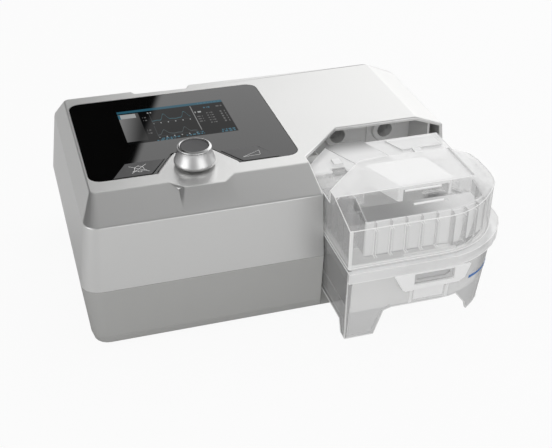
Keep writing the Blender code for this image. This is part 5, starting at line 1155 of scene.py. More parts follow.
    @staticmethod
    def spin(name: str, profile: Sequence[Flat], centre: Vector, steps: int,
             finishes: Sequence[Material]) -> Piece:
        """Turn a profile about the upright axis through a point.

        Args:
            name: the new piece's name.
            profile: radius and height of each point; it starts and ends on the axis.
            centre: the point.
            steps: the sides of the round.
            finishes: its materials.

        Returns:
            The piece, in object mode.
        """
        outline = [centre + Vector((radius, 0, height)) for radius, height in profile]
        piece = Bench.ring(name, outline, "NOTHING", finishes)
        Bench.edit(piece, "EDGE")
        bpy.ops.mesh.spin(steps=steps, angle=math.tau, center=centre, axis=(0, 0, 1))
        bpy.ops.mesh.select_all(action="SELECT")
        bpy.ops.mesh.remove_doubles(threshold=MERGE)
        Bench.pick_edges(piece, lambda edge: not edge.is_manifold)
        bpy.ops.mesh.delete(type="EDGE")
        Bench.face_outwards()
        return piece

    @staticmethod
    def wire(name: str, paths: Sequence[Sequence[Vector]], radius: float,
             finishes: Sequence[Material]) -> Piece:
        """Draw thin round strokes along paths, as one mesh.

        Args:
            name: the new piece's name.
            paths: the points of each stroke.
            radius: the strokes' radius.
            finishes: the materials.

        Returns:
            The piece, in object mode.
        """
        curve = bpy.data.curves.new(name, "CURVE")
        curve.dimensions = "3D"
        curve.bevel_depth = radius
        curve.bevel_resolution = 1
        curve.use_fill_caps = True
        for path in paths:
            spline = curve.splines.new("POLY")
            spline.points.add(len(path) - 1)
            for point, place in zip(spline.points, path):
                point.co = (*place, 1.0)
        drawn = bpy.data.objects.new(name, curve)
        bpy.context.scene.collection.objects.link(drawn)
        Bench.pick(drawn)
        bpy.ops.object.convert(target="MESH")
        piece = bpy.context.object
        Bench.coat(piece, finishes)
        return piece

    @staticmethod
    def light_edges(piece: Piece, name: str, radius: float, finish: Material, wanted: EdgeTest,
                    body: Body) -> None:
        """Lay a thin round bead along the edges of a clear piece that pass a test: a painted highlight,
        whiter and more opaque than the piece.

        Args:
            piece: the piece.
            name: the beads' name.
            radius: their radius.
            finish: their material.
            wanted: the test.
            body: the body that they move with.
        """
        mesh = bmesh.new()
        mesh.from_mesh(piece.data)
        paths = [[vert.co.copy() for vert in edge.verts] for edge in mesh.edges
                 if edge.is_manifold and wanted(edge)]
        mesh.free()
        Bench.finish(Bench.wire(name, paths, radius, [finish]), body, Slot.CLEAR)

    @staticmethod
    def join(name: str, pieces: Sequence[Piece]) -> Piece:
        """Make one piece of several, named anew."""
        Bench.pick(pieces[0])
        for piece in pieces:
            piece.select_set(True)
        bpy.ops.object.join()
        pieces[0].name = name
        return pieces[0]

    @staticmethod
    def finish(piece: Piece, body: Body, slot: Slot, replaces: Sequence[str] = (),
               angle: float = 32.0) -> None:
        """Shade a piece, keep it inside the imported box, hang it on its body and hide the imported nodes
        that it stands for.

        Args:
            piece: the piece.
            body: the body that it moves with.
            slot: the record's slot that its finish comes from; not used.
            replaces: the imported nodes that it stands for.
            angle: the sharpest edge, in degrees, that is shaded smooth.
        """
        low, high = CAD_BOX
        for vertex in piece.data.vertices:
            for axis in range(3):
                vertex.co[axis] = min(max(vertex.co[axis], low[axis]), high[axis])
        Bench.pick(piece)
        bpy.ops.object.shade_smooth_by_angle(angle=math.radians(angle))
        Bench.modify(piece, "WEIGHTED_NORMAL", keep_sharp=True)
        piece.select_set(False)
        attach(piece, body.value)
        if replaces:
            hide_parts(*replaces)
        log.info("%s rides on %s, %d faces", piece.name, body.value, len(piece.data.polygons))


def middle(edge: Edge) -> Vector:
    """The middle of an edge."""
    return (edge.verts[0].co + edge.verts[1].co) / 2


def turn(edge: Edge) -> float:
    """The edge's angle in degrees, positive where it stands out."""
    return math.degrees(edge.calc_face_angle_signed(0.0))


def steepness(edge: Edge) -> float:
    """How steeply an edge runs: nought for a level one, one for an upright one."""
    return abs((edge.verts[1].co - edge.verts[0].co).normalized().z)


def sharper(angle: float, length: float = 0.0) -> EdgeTest:
    """A test for edges that stand out by more than an angle, in degrees, and are long enough."""
    return lambda edge: turn(edge) > angle and edge.calc_length() > length


def arc(centre: Flat, radius: float, start: float, end: float, steps: int) -> list[Flat]:
    """Work out points along an arc.

    Args:
        centre: the arc's centre.
        radius: its radius.
        start: the angle of its first point, in degrees.
        end: the angle of its last point.
        steps: how many stretches it has.

    Returns:
        The points, with both ends.
    """
    points = []
    for step in range(steps + 1):
        angle = math.radians(start + (end - start) * step / steps)
        points.append((centre[0] + radius * math.cos(angle), centre[1] + radius * math.sin(angle)))
    return points


@dataclass(frozen=True)
class Housing:
    """The moulded shells: silver above the seam, grey below, the bay's lining and the feet."""

    finishes: Finishes
    heart: Point = (0.1325, 0.087, 0.045)
    edge: float = 0.0009
    edge_steps: int = 3
    liner_edge: float = 0.0004
    liner_crease: float = 60.0
    crease: float = 10.0
    corner: float = 35.0
    level: float = 0.3
    foot_sides: int = 48
    foot_groove: float = 0.0006
    foot_ring: Flat = (0.45, 0.5)
    foot_round: Flat = (0.86, 0.96)

    def outer(self, edge: Edge) -> bool:
        """Tell whether an edge lies on the outside and is sharp enough to be rounded.

        Args:
            edge: the edge.

        Returns:
            True where both its faces look away from the housing's heart and it is a crease.
        """
        away = middle(edge) - PLACES.at(*self.heart)
        if any(face.normal.dot(away) <= 0 for face in edge.link_faces):
            return False
        return turn(edge) > (self.crease if steepness(edge) < self.level else self.corner)

    def shell(self, node: str, name: str, finish: Material, slot: Slot) -> None:
        """Make one shell with rounded outer edges.

        Args:
            node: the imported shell.
            name: the new piece's name.
            finish: its material.
            slot: the record's slot.
        """
        piece = Bench.copy(node, name, [finish])
        Bench.round_edges(piece, self.edge, self.edge_steps, self.outer)
        Bench.finish(piece, Body.MACHINE, slot, [node])

    def feet(self) -> None:
        """Turn one rubber foot and copy it to the four seats."""
        first = None
        for number in range(1, 5):
            node = f"rubber_foot_{number}"
            base, radius, height = Bench.round_place(node)
            if first is None:
                piece = first = self.foot(base, radius, height)
                origin = base
            else:
                piece = bpy.data.objects.new("foot", first.data.copy())
                bpy.context.scene.collection.objects.link(piece)
                piece.data.transform(Matrix.Translation(base - origin))
            piece.name = f"foot_pad_{number}"
            Bench.finish(piece, Body.MACHINE, Slot.RUBBER, [node])

    def foot(self, base: Vector, radius: float, height: float) -> Piece:
        """Turn a foot: a soft edge below and a shallow ring round its middle.

        Args:
            base: the middle of its underside.
            radius: its radius.
            height: its height.

        Returns:
            The foot.
        """
        soft = self.foot_groove
        (inner, outer), (flat, rounded) = self.foot_ring, self.foot_round
        profile = [(0, soft / 2), (radius * inner, soft / 2), (radius * outer, 0), (radius * flat, 0),
                   (radius * rounded, soft / 3), (radius, soft), (radius, height), (0, height)]
        return Bench.spin("foot", profile, base, self.foot_sides, [self.finishes.rubber])

    def build(self) -> None:
        """Make the shells, the lining and the feet."""
        self.shell("upper_housing", "upper_shell", self.finishes.silver, Slot.SILVER)
        self.shell("lower_housing", "lower_shell", self.finishes.grey, Slot.GREY)
        Bench.soften("bay_liner", "bay_shell", self.finishes.liner, self.liner_edge,
                     sharper(self.liner_crease), Body.MACHINE, Slot.GREY)
        self.feet()


@dataclass(frozen=True)
class Display:
    """The black window flush in the top, and the two keys in its front corners with their signs."""

    finishes: Finishes
    key_gap: float = 0.0012
    edge: float = 0.00025
    rim_crease: float = 60.0
    same_height: float = 0.00004
    stroke: float = 0.00016
    stroke_flat: float = 0.3
    bell_at: Flat = (0.0462, 0.0533)
    bell_size: float = 0.0011
    ramp_corners: tuple[Flat, ...] = ((0.1117, 0.0502), (0.1236, 0.0562), (0.1230, 0.0506))

    def flat_edge(self, top: float) -> EdgeTest:
        """A test for the sharp outline of a flat top at one height."""
        sharp = sharper(self.rim_crease)
        return lambda edge: sharp(edge) and all(
            abs(vert.co.z - top) < self.same_height for vert in edge.verts)

    def glass(self) -> None:
        """Make the window with a fine rounded rim."""
        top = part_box("display_window")[1].z
        rim, keys = self.flat_edge(top), [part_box("mute_key"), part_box("ramp_key")]

        def outside(edge: Edge) -> bool:
            """Tell whether a rim's edge lies clear of the keys' holes."""
            x, y, _ = middle(edge)
            gap = self.key_gap
            return rim(edge) and not any(
                low.x - gap < x < high.x + gap and low.y - gap < y < high.y + gap
                for low, high in keys)

        Bench.soften("display_window", "display_glass", self.finishes.window, self.edge,
                     outside, Body.MACHINE, Slot.WINDOW)

    def cap(self, node: str, name: str, body: Body) -> float:
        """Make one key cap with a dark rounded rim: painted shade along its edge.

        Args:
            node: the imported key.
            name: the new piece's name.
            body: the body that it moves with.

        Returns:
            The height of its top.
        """
        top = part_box(node)[1].z
        piece = Bench.copy(node, name, [self.finishes.key, self.finishes.key_rim_shade])
        Bench.round_edges(piece, self.edge, 2, self.flat_edge(top), finish=1)
        Bench.finish(piece, body, Slot.KEY, [node])
        return top

    def sign(self, name: str, paths: Sequence[Sequence[Flat]], top: float, body: Body) -> None:
        """Print a sign's strokes on a key.

        Args:
            name: the piece's name.
            paths: the strokes, as points in plan.
            top: the height of the key's top.
            body: the body that it moves with.
        """
        raised = [[PLACES.at(x, y, top) for x, y in path] for path in paths]
        piece = Bench.wire(name, raised, self.stroke, [self.finishes.ink])
        Bench.edit(piece)
        bpy.ops.transform.resize(value=(1, 1, self.stroke_flat), center_override=(0, 0, top))
        bpy.ops.object.mode_set(mode="OBJECT")
        Bench.finish(piece, body, Slot.WHITE)

    def bell(self) -> list[list[Flat]]:
        """Draw a bell crossed out, first about its own middle and in its own small unit.

        Returns:
            The strokes, in plan and in metres.
        """
        dome = arc((0, 0.6), 2.5, 180, 0, 8)
        outline = [(-4.0, -2.4), (-2.7, -1.2)] + dome + [(2.7, -1.2), (4.0, -2.4), (-4.0, -2.4)]
        clapper = arc((0, -2.5), 1.1, 180, 360, 5)
        knob = [(0, 3.1), (0, 3.9)]
        cross = [[(-5.4, 4.0), (5.2, -4.0)], [(-4.6, -4.2), (4.6, 4.6)]]
        size, (x, y) = self.bell_size, self.bell_at
        return [[(x + size * across, y + size * deep) for across, deep in stroke]
                for stroke in (outline, clapper, knob, *cross)]

    def build(self) -> None:
        """Make the window, the keys and their signs."""
        self.glass()
        top = self.cap("mute_key", "mute_cap", Body.MUTE)
        self.sign("mute_sign", self.bell(), top, Body.MUTE)
        top = self.cap("ramp_key", "ramp_cap", Body.RAMP)
        self.sign("ramp_sign", [[*self.ramp_corners, self.ramp_corners[0]]], top, Body.RAMP)


@dataclass(frozen=True)
class Knob:
    """The turning knob: a bell of satin chrome, a bright rim and a dark face sunk in it.

    The rounds of the bell's foot and rim are lists of points.  A foot's point is a share of the
    base radius and a height, and a rim's point is how far it lies inside the rim and over the neck.
    """

    finishes: Finishes
    sides: int = 96
    bore: float = 0.0033
    bore_height: float = 0.0064
    foot_round: tuple[Flat, ...] = ((0.93, 0.0), (0.965, 0.0002), (0.985, 0.0006),
                                    (0.997, 0.0012), (1.0, 0.00192))
    skirt: float = 0.0024
    flare: float = 1.35
    flare_steps: int = 12
    flare_start: float = 0.985
    rim_share: float = 0.824
    rim_height: float = 0.0020
    waist_inset: float = 0.0003
    groove: float = 0.0004
    groove_heights: Flat = (0.0001, 0.0003)
    rim_round: tuple[Flat, ...] = ((0.0002, 0.0004), (0.0, 0.0007), (0.0, 0.0010),
                                   (0.0002, 0.0013), (0.0005, 0.0016), (0.0010, 0.0019))
    rim_top: float = 0.0014
    well_gap: float = 0.0003
    well_round: Flat = (0.0003, 0.0001)
    well_edge: float = 0.0004
    dish: float = 0.00025
    dish_shares: tuple[float, ...] = (0.93, 0.8, 0.6, 0.4, 0.2, 0.0)

    def shell(self) -> None:
        """Turn the bell, with the bore for its shaft and the well for its face."""
        centre, base, height = Bench.round_place("knob")
        face, face_radius, _ = Bench.round_place("knob_disc")
        well = face_radius + self.well_gap
        well_foot = face.z - centre.z - self.well_gap
        rim = base * self.rim_share
        waist = rim - self.waist_inset
        neck = height - self.rim_height
        profile = [(0, self.bore_height), (self.bore, self.bore_height), (self.bore, 0)]
        profile += [(base * share, up) for share, up in self.foot_round]
        for step in range(self.flare_steps + 1):
            share = step / self.flare_steps
            radius = waist + (base - waist) * (1 - share) ** self.flare * self.flare_start
            profile.append((radius, self.skirt + (neck - self.skirt) * share))
        profile += [(waist - self.groove, neck + up) for up in self.groove_heights]
        profile += [(rim - inset, neck + up) for inset, up in self.rim_round]
        profile += [(rim - self.rim_top, height),
                    (well + self.well_round[0], height - self.well_round[1]),
                    (well, height - self.well_edge), (well, well_foot), (0, well_foot)]
        piece = Bench.spin("knob_shell", profile, centre, self.sides, [self.finishes.chrome])
        Bench.finish(piece, Body.KNOB, Slot.CHROME, ["knob"], angle=40)

    def face(self) -> None:
        """Turn the dark face: slightly dished, with a softened edge."""
        centre, radius, height = Bench.round_place("knob_disc")
        profile = [(0, 0), (radius, 0), (radius, height - self.dish), (radius - self.dish, height)]
        profile += [(radius * share, height - self.dish * (1 - share ** 2))
                    for share in self.dish_shares]
        piece = Bench.spin("knob_face", profile, centre, self.sides, [self.finishes.disc])
        Bench.finish(piece, Body.KNOB, Slot.DISC, ["knob_disc"])

    def build(self) -> None:
        """Make the bell and its face."""
        self.shell()
        self.face()


@dataclass(frozen=True)
class Plan:
    """The tank's shape in plan and in section, and the places read off it."""

    left: float = 0.1504
    front: float = -0.03935
    right: float = 0.2595
    radius: float = 0.0464
    back: float = 0.0238
    wall: float = 0.0020
    roof_low: float = 0.0868
    roof_high: float = 0.0943
    crease: float = -0.01245
    crease_right: float = 0.2399
    edge_right: float = 0.2598
    roof: float = 0.0018
    corner_cut: float = 0.1586
    corner_roof: float = 0.0841
    flange: float = 0.0515
    tub_low: float = 0.0042
    taper: float = 0.0056
    spread_right: float = 0.0042
    spread_foot: float = 0.0033
    spread_left: float = 0.0038
    spread_end: Flat = (0.0040, 0.0240)
    leg_right: float = 0.172
    leg_fade: float = 0.018
    round_from: float = 0.20
    upright: float = 0.9
    narrowing: float = 1.6
    hinge_inset: float = 0.0012
    hinge_gap: float = 0.004
    end_gap: float = 0.006
    corner_step: float = 0.0001
    round_steps: int = 16
    hair: float = 0.00005

    @property
    def centre(self) -> Flat:
        """The middle of the round front right corner, in plan."""
        return self.right - self.radius, self.front + self.radius

    def own(self, place: Vector) -> Vector:
        """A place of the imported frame, in the machine's own frame."""
        return place - PLACES.at(0, 0, 0)

    def on_round(self, degrees: float, reach: float) -> Flat:
        """The place in plan at an angle round from the front, so far from the corner's middle."""
        turned = math.radians(degrees)
        return self.centre[0] + reach * math.sin(turned), self.centre[1] - reach * math.cos(turned)

    def facet(self, edge: Edge) -> bool:
        """Whether an edge is an upright one between two facets of the round side."""
        return steepness(edge) > self.upright and self.own(middle(edge)).x > self.round_from

    def roof_at(self, x: float, y: float) -> float:
        """Find the underside of the lid's roof over one place.

        Args:
            x: the place, right from the housing's left side.
            y: the place, back from the housing's front.

        Returns:
            Its height over the table.
        """
        if x - y < self.corner_cut:
            return self.corner_roof
        share = min(1.0, (y - self.front) / (self.crease - self.front),
                    (self.edge_right - x) / (self.edge_right - self.crease_right))
        return self.roof_low + (self.roof_high - self.roof_low) * share - self.roof

    def depth(self, height: float) -> float:
        """How far a height lies down the tub: nought at the flange, one at the tub's foot."""
        return max(0.0, self.flange - height) / (self.flange - self.tub_low)

    def drawn(self, height: float) -> float:
        """How far the tub's wall is drawn in at one height."""
        return self.taper * self.depth(height)

    def leg_side(self, height: float) -> float:
        """How far right the outer side of the tub's left leg lies at one height."""
        return self.left + self.drawn(height) - self.spread_left * self.depth(height)

    def around(self, angle: float, height: float, proud: float = 0.0) -> Vector:
        """Find a point of the tub's round front right side.

        Args:
            angle: round from the front, in degrees.
            height: over the table.
            proud: how far outside the surface.

        Returns:
            The point, in the frame.
        """
        return PLACES.at(*self.on_round(angle, self.radius - self.drawn(height) + proud), height)

    def spread(self, piece: Piece) -> None:
        """Widen the tub's round side, and set its front left leg further out.

        Args:
            piece: the tub, or something on it.
        """
        near, far = self.spread_end
        for vertex in piece.data.vertices:
            x, y, z = self.own(vertex.co)
            share = min(1.0, max(0.0, (x - self.centre[0]) / self.radius))
            fade = min(1.0, max(0.0, (far - y) / (far - near)))
            close = min(1.0, max(0.0, (self.leg_right - x) / self.leg_fade))
            right = self.spread_right + self.spread_foot * self.depth(z)
            vertex.co.x += right * share ** 2 * fade - self.spread_left * self.depth(z) * close

    def inset(self, share: float, front: float, right: float) -> float:
        """How far an inner wall lies inside the round side, at a share of the way round it."""
        return front + (right - front) * min(1, share * self.narrowing)

    def inner(self, grow: float, side: float, front: float, right: float) -> list[Flat]:
        """A path inside the wall, from the hinge down the left, over the front and round.

        Args:
            grow: how far it is moved outwards.
            side: its distance from the left side.
            front: its distance from the front.
            right: its distance from the right side.

        Returns:
            The path's points.
        """
        left = self.left + side - grow
        cut = left - self.corner_cut
        path = [(left + self.hinge_inset, self.back - self.hinge_gap), (left, cut + self.corner_step),
                (left, cut - self.corner_step), (left, self.crease), (left, self.front + front - grow)]
        for step in range(self.round_steps + 1):
            share = step / self.round_steps
            path.append(self.on_round(90 * share, self.radius - self.inset(share, front, right) + grow))
        path.append((self.right - right + grow, self.back - self.end_gap))
        return path


@dataclass(frozen=True)
class TankLid:
    """The hinged lid: its clear skin, the ring of small cells in its wall, its floor and hood."""

    finishes: Finishes
    plan: Plan
    edge: float = 0.00033
    lit_angle: float = 12.0
    smooth_angle: float = 14.0
    flat_angle: float = 20.0
    white_edge: float = 0.0003
    white_crease: float = 50.0
    pitch: float = 0.0098
    cell_low: float = 0.0640
    cell_wall: float = 0.0011
    rough_height: float = 0.02
    side: float = 0.0130
    front: float = 0.0072
    right: float = 0.0027
    gap: float = 0.0003
    overlap: float = 0.0002
    last_angle: float = 84.0
    first_deep: float = 0.0160
    floor_low: float = 0.0622
    floor_thick: float = 0.0010
    post: float = 0.0019
    post_deep: float = 0.0012
    post_low: float = 0.0609
    post_gap: float = 0.0004
    post_inset: float = 0.0001
    rib_depth: float = 0.0030
    rib_width: float = 0.002
    rib_span: Flat = (0.0640, 0.0835)
    first_rib: float = 0.1682
    packed_rib: float = 0.1661
    grips: tuple[Point, ...] = ((0.1934, 0.2172, -0.0161), (0.1947, 0.2138, -0.0270))
    grip: float = 0.0007
    grip_rise: float = 0.0004
    grip_low: Point = (0.185, -0.032, 0.086)
    grip_high: Flat = (0.222, -0.0135)
    hinge_from: float = 0.0255
    rim_radius: float = 0.0003
    rim_drop: float = 0.0006
    crease_radius: float = 0.0008
    crease_sunk: float = 0.0004
    crease_end: float = 0.001

    def align(self, piece: Piece) -> None:
        """Move the skin's ribs to where the cells' partitions stand.

        Args:
            piece: the skin.
        """
        plan = self.plan
        (x, y), inside = plan.centre, plan.radius - plan.wall
        shift = self.first_rib - self.packed_rib
        packed = 90.0 / int(plan.radius * math.pi / 2 / self.pitch)
        first, step = self.round_pitch()
        reached = self.rib_depth + self.gap
        for vertex in piece.data.vertices:
            across, deep, high = plan.own(vertex.co)
            if not self.rib_span[0] < high < self.rib_span[1]:
                continue
            reach = math.hypot(across - x, y - deep)
            if across < x - self.rib_width and deep < plan.front + plan.wall + reached:
                if across > self.packed_rib - self.rib_width:
                    vertex.co.x += shift
            elif across > x and deep < y - self.rib_width / 2 and inside - reached < reach:
                angle = math.degrees(math.atan2(across - x, y - deep))
                number = round(angle / packed)
                moved = plan.on_round(angle + first + (step - packed) * number, reach)
                vertex.co = PLACES.at(*moved, high)

    def round_pitch(self) -> Flat:
        """Carry the partitions' pitch on from the straight front to the round side.

        Returns:
            The angle of the first partition on the round side and the step to the next, in degrees.
        """
        plan, across = self.plan, self.first_rib
        while across < plan.centre[0]:
            across += self.pitch
        first = math.degrees((across - plan.centre[0]) / (plan.radius - plan.wall))
        return first, math.degrees(self.pitch / plan.radius)

    def skin(self) -> None:
        """Make the skin, and the light that its edges gather."""
        piece = Bench.copy("tank_lid", "lid_shell", [self.finishes.lid])
        self.align(piece)
        Bench.light_edges(piece, "lid_edge_highlights", self.edge, self.finishes.pale_clear_and_highlights, self.lit, Body.LID)
        Bench.finish(piece, Body.LID, Slot.CLEAR, ["tank_lid"], angle=self.smooth_angle)

    def lit(self, edge: Edge) -> bool:
        """Tell whether an edge of the skin gathers light.

        Args:
            edge: the edge.

        Returns:
            True where it stands out, is no facet's or grip's edge and lies before the hinge.
        """
        x, y, z = self.plan.own(middle(edge))
        (left, near, low), (right, far) = self.grip_low, self.grip_high
        grip = left < x < right and near < y < far and z > low
        return turn(edge) > self.lit_angle and y < self.hinge_from and not grip and not (
            self.plan.facet(edge))

    def path(self, grow: float = 0.0) -> list[Flat]:
        """The cells' inner wall in plan, or its outer face where it is grown outwards."""
        return self.plan.inner(grow, self.side, self.front, self.right)

    def cells(self) -> None:
        """Make the wall that closes off the ring of cells, and their partitions."""
        loop = self.path(self.cell_wall) + self.path()[::-1]
        parts = [self.raised("cell_wall", loop, self.finishes.frosted)]
        parts += [self.partition(start, end) for start, end in self.partitions()]
        Bench.finish(Bench.join("lid_cells", parts), Body.LID, Slot.CLEAR, angle=self.flat_angle)

    def raised(self, name: str, loop: Sequence[Flat], finish: Material) -> Piece:
        """Raise a closed plan from the cells' foot to the underside of the roof.

        Args:
            name: the slab's name.
            loop: the plan.
            finish: its material.

        Returns:
            The slab.
        """
        outline = [PLACES.at(x, y, self.cell_low) for x, y in loop]
        piece = Bench.slab(name, outline, Vector((0, 0, self.rough_height)), [finish])
        for vertex in piece.data.vertices:
            if vertex.co.z > self.cell_low + self.rough_height / 2:
                x, y, _ = self.plan.own(vertex.co)
                vertex.co.z = self.plan.roof_at(x, y) - self.gap
        return piece

    def partitions(self) -> list[tuple[Flat, Flat]]:
        """Space the partitions over the front, round the side and up the left.

        Returns:
            Both ends of every partition, in plan.
        """
        plan = self.plan
        outer = plan.front + plan.wall + self.rib_depth - self.gap
        places = []
        across = self.first_rib
        while across < plan.centre[0]:
            places.append(((across, outer), (across, plan.front + self.front)))
            across += self.pitch
        angle, step = self.round_pitch()
        while angle < self.last_angle:
            inner = plan.radius - plan.inset(angle / 90, self.front, self.right)
            places.append((plan.on_round(angle, plan.radius - plan.wall + self.overlap),
                           plan.on_round(angle, inner)))
            angle += step
        deep = plan.front + self.first_deep
        while deep < plan.back - self.pitch / 2:
            places.append(((plan.left + plan.wall, deep), (plan.left + self.side, deep)))
            deep += self.pitch
        return places

    def partition(self, start: Flat, end: Flat) -> Piece:
        """Make one upright partition between the outer and the inner wall.

        Args:
            start: its outer end, in plan.
            end: its inner end, in plan.

        Returns:
            The partition.
        """
        first, last = Vector(start), Vector(end)
        side = (last - first).orthogonal().normalized() * self.cell_wall / 2
        corners = (first - side, last - side, last + side, first + side)
        return self.raised("partition", [tuple(corner) for corner in corners], self.finishes.divider)

    def rim(self) -> None:
        """Lay the bright line along the top of the cells' inner wall: a painted highlight."""
        raised = [PLACES.at(x, y, self.plan.roof_at(x, y) - self.rim_drop)
                  for x, y in self.path()[:-1]]
        piece = Bench.wire("cell_rim_highlight", [raised], self.rim_radius, [self.finishes.pale_clear_and_highlights])
        Bench.finish(piece, Body.LID, Slot.CLEAR)

    def crease_shade_bar(self) -> None:
        """Lay the soft grey bar along the crease between the flat top and the right slope: painted shade
        on the crease.
        """
        plan = self.plan
        path = [PLACES.at(plan.crease_right, y, plan.roof_high + plan.roof - self.crease_sunk)
                for y in (plan.crease, plan.back - self.crease_end)]
        piece = Bench.wire("lid_crease_shade", [path], self.crease_radius, [self.finishes.crease])
        Bench.finish(piece, Body.LID, Slot.CLEAR)

    def grip_bars(self) -> None:
        """Lay the two bars that a finger finds on the slope."""
        rise = self.plan.roof + self.grip_rise
        paths = [[PLACES.at(x, y, self.plan.roof_at(x, y) + rise) for x in (left, right)]
                 for left, right, y in self.grips]
        piece = Bench.wire("lid_grips", paths, self.grip, [self.finishes.bar])
        Bench.finish(piece, Body.LID, Slot.CLEAR)

    def floor(self) -> None:
        """Make the frosted plate that lies low inside the lid, with painted shade on its left and painted
        light on its right.
        """
        outline = [PLACES.at(x, y, self.floor_low) for x, y in self.path()]
        piece = Bench.slab("lid_floor", outline, Vector((0, 0, self.floor_thick)),
                           [self.finishes.floor_light_and_shade])
        Bench.finish(piece, Body.LID, Slot.CLEAR, angle=self.flat_angle)

    def corner(self) -> None:
        """Make the bright bar that shows where the front meets the left wall: a painted highlight on that
        corner.
        """
        plan = self.plan
        x, y = plan.left + self.post_inset, plan.front + self.post_inset
        right, back = x + self.post, y + self.post_deep
        outline = [PLACES.at(a, b, self.post_low)
                   for a, b in ((x, y), (right, y), (right, back), (x, back))]
        height = plan.roof_low - self.post_low - self.post_gap
        piece = Bench.slab("lid_corner_highlight", outline, Vector((0, 0, height)), [self.finishes.pale_clear_and_highlights])
        Bench.finish(piece, Body.LID, Slot.CLEAR)

    def build(self) -> None:
        """Make the skin, the cells, the bars and lines on them, the floor and the white hood."""
        self.skin()
        self.cells()
        self.rim()
        self.crease_shade_bar()
        self.grip_bars()
        self.floor()
        self.corner()
        Bench.soften("air_guide", "hood", self.finishes.white, self.white_edge,
                     sharper(self.white_crease), Body.LID, Slot.WHITE)


@dataclass(frozen=True)
class TankBody:
    """The tub with its legs, the cover behind the lid, the pull plate and what is on them."""

    finishes: Finishes
    plan: Plan
    edge: float = 0.00033
    rear_edge: float = 0.000264
    lit_angle: float = 24.0
    lit_length: float = 0.0012
    tub_angle: float = 14.0
    cover_angle: float = 20.0
    crease: float = 40.0
    soft_share: float = 0.4
    white_edge: float = 0.0003
    catch_edge: float = 0.00015
    post: float = 0.0022
    post_deep: float = 0.0014
    post_inset: float = 0.0001
    post_ends: Flat = (0.0004, 0.0002)
    rough_height: float = 0.001
    patch: tuple[Flat, Flat] = ((0.1948, 0.2146), (0.0281, 0.0367))
    patch_proud: float = 0.0006
    posts: Flat = (0.1928, 0.2167)
    post_half: float = 0.0011
    post_span: Flat = (0.0262, 0.0386)
    post_proud: float = 0.0012
    foot_corners: tuple[tuple[float | None, float], ...] = (
        (None, 0.0480), (None, 0.0064), (0.1694, 0.0064), (0.1742, 0.0229), (0.1800, 0.0270))
    foot_inset: float = 0.0026
    foot_line_radius: float = 0.0003
    stripe_from: Flat = (27.0, 0.0340)
    stripe_to: Flat = (64.0, 0.0300)
    stripe_width: float = 0.0021
    stripe_narrowing: float = 0.55
    stripe_steps: int = 16
    stripe_thick: float = 0.00012
    pitch: float = 0.0098
    cell_wall: float = 0.0009
    cell_right: float = 0.1636
    cell_first: float = 0.006
    cell_span: Flat = (0.0310, 0.0644)
    cell_heights: Flat = (0.0800, 0.0842)
    chute_corners: tuple[Flat, ...] = ((0.1817, 0.0360), (0.2060, 0.0396), (0.1966, 0.0644),
                                       (0.1792, 0.0644), (0.1700, 0.0619))
    chute_low: float = 0.0860
    chute_thick: float = 0.0007

    def lit(self, edge: Edge) -> bool:
        """Whether an edge gathers light: it stands out, isn't tiny and is no facet's edge."""
        return sharper(self.lit_angle, self.lit_length)(edge) and not self.plan.facet(edge)

    def tub(self) -> None:
        """Make the tub, and the light that its edges gather."""
        piece = Bench.copy("tank_tub", "tub_shell", [self.finishes.tub])
        self.plan.spread(piece)
        Bench.light_edges(piece, "tub_edge_highlights", self.edge, self.finishes.pale_clear_and_highlights, self.lit, Body.TANK)
        Bench.finish(piece, Body.TANK, Slot.CLEAR, ["tank_tub"], angle=self.tub_angle)

    def cover(self) -> None:
        """Make the cover behind the lid."""
        piece = Bench.copy("tank_rear_cover", "rear_shell", [self.finishes.cover])
        # Painted highlights along the cover's edges.
        Bench.light_edges(piece, "rear_edge_highlights", self.rear_edge, self.finishes.pale_clear_and_highlights, self.lit,
                          Body.TANK)
        Bench.finish(piece, Body.TANK, Slot.CLEAR, ["tank_rear_cover"], angle=self.cover_angle)

    def rear_cells(self) -> None:
        """Make the row of cells along the cover's left side."""
        left, right = self.plan.left + self.plan.wall, self.cell_right
        (near, far), wall = self.cell_span, self.cell_wall
        low, high = self.cell_heights
        boxes = [(right, right + wall, near, far)]
        depth = near + self.cell_first
        while depth < far - wall:
            boxes.append((left, right, depth, depth + wall))
            depth += self.pitch
        parts = []
        for west, east, front, back in boxes:
            corners = ((west, front), (east, front), (east, back), (west, back))
            parts.append(Bench.slab("cell", [PLACES.at(x, y, low) for x, y in corners],
                                    Vector((0, 0, high - low)), [self.finishes.pale_clear_and_highlights]))
        Bench.finish(Bench.join("rear_cells", parts), Body.TANK, Slot.CLEAR)

    def plate(self, name: str, outline: Sequence[Vector], push: Vector, finish: Material,
              slot: Slot = Slot.CLEAR) -> None:
        """Make a thin plate with softened edges.

        Args:
            name: its name.
            outline: its outline, in the frame.
            push: the way that it is thick, and how thick.
            finish: its material.
            slot: the record's slot.
        """
        piece = Bench.slab(name, outline, push, [finish])
        Bench.round_edges(piece, push.length * self.soft_share, 2, sharper(self.crease))
        Bench.finish(piece, Body.TANK, slot)

    def chute(self) -> None:
        """Lay the pale channel's cover over the cover's left half."""
        outline = [PLACES.at(x, y, self.chute_low) for x, y in self.chute_corners]
        self.plate("rear_chute", outline, Vector((0, 0, self.chute_thick)), self.finishes.channel)

    def foot_line(self) -> None:
        """Draw the inner wall's outline that shows through the left foot."""
        path = []
        for across, height in self.foot_corners:
            x = self.plan.leg_side(height) + self.foot_inset if across is None else across
            path.append(PLACES.at(x, self.face_y(height) - self.foot_line_radius / 2, height))
        piece = Bench.wire("foot_line", [path], self.foot_line_radius, [self.finishes.crease])
        Bench.finish(piece, Body.TANK, Slot.CLEAR)

    def face_y(self, height: float) -> float:
        """How deep the tub's front face lies at one height."""
        return self.plan.front + self.plan.drawn(height)

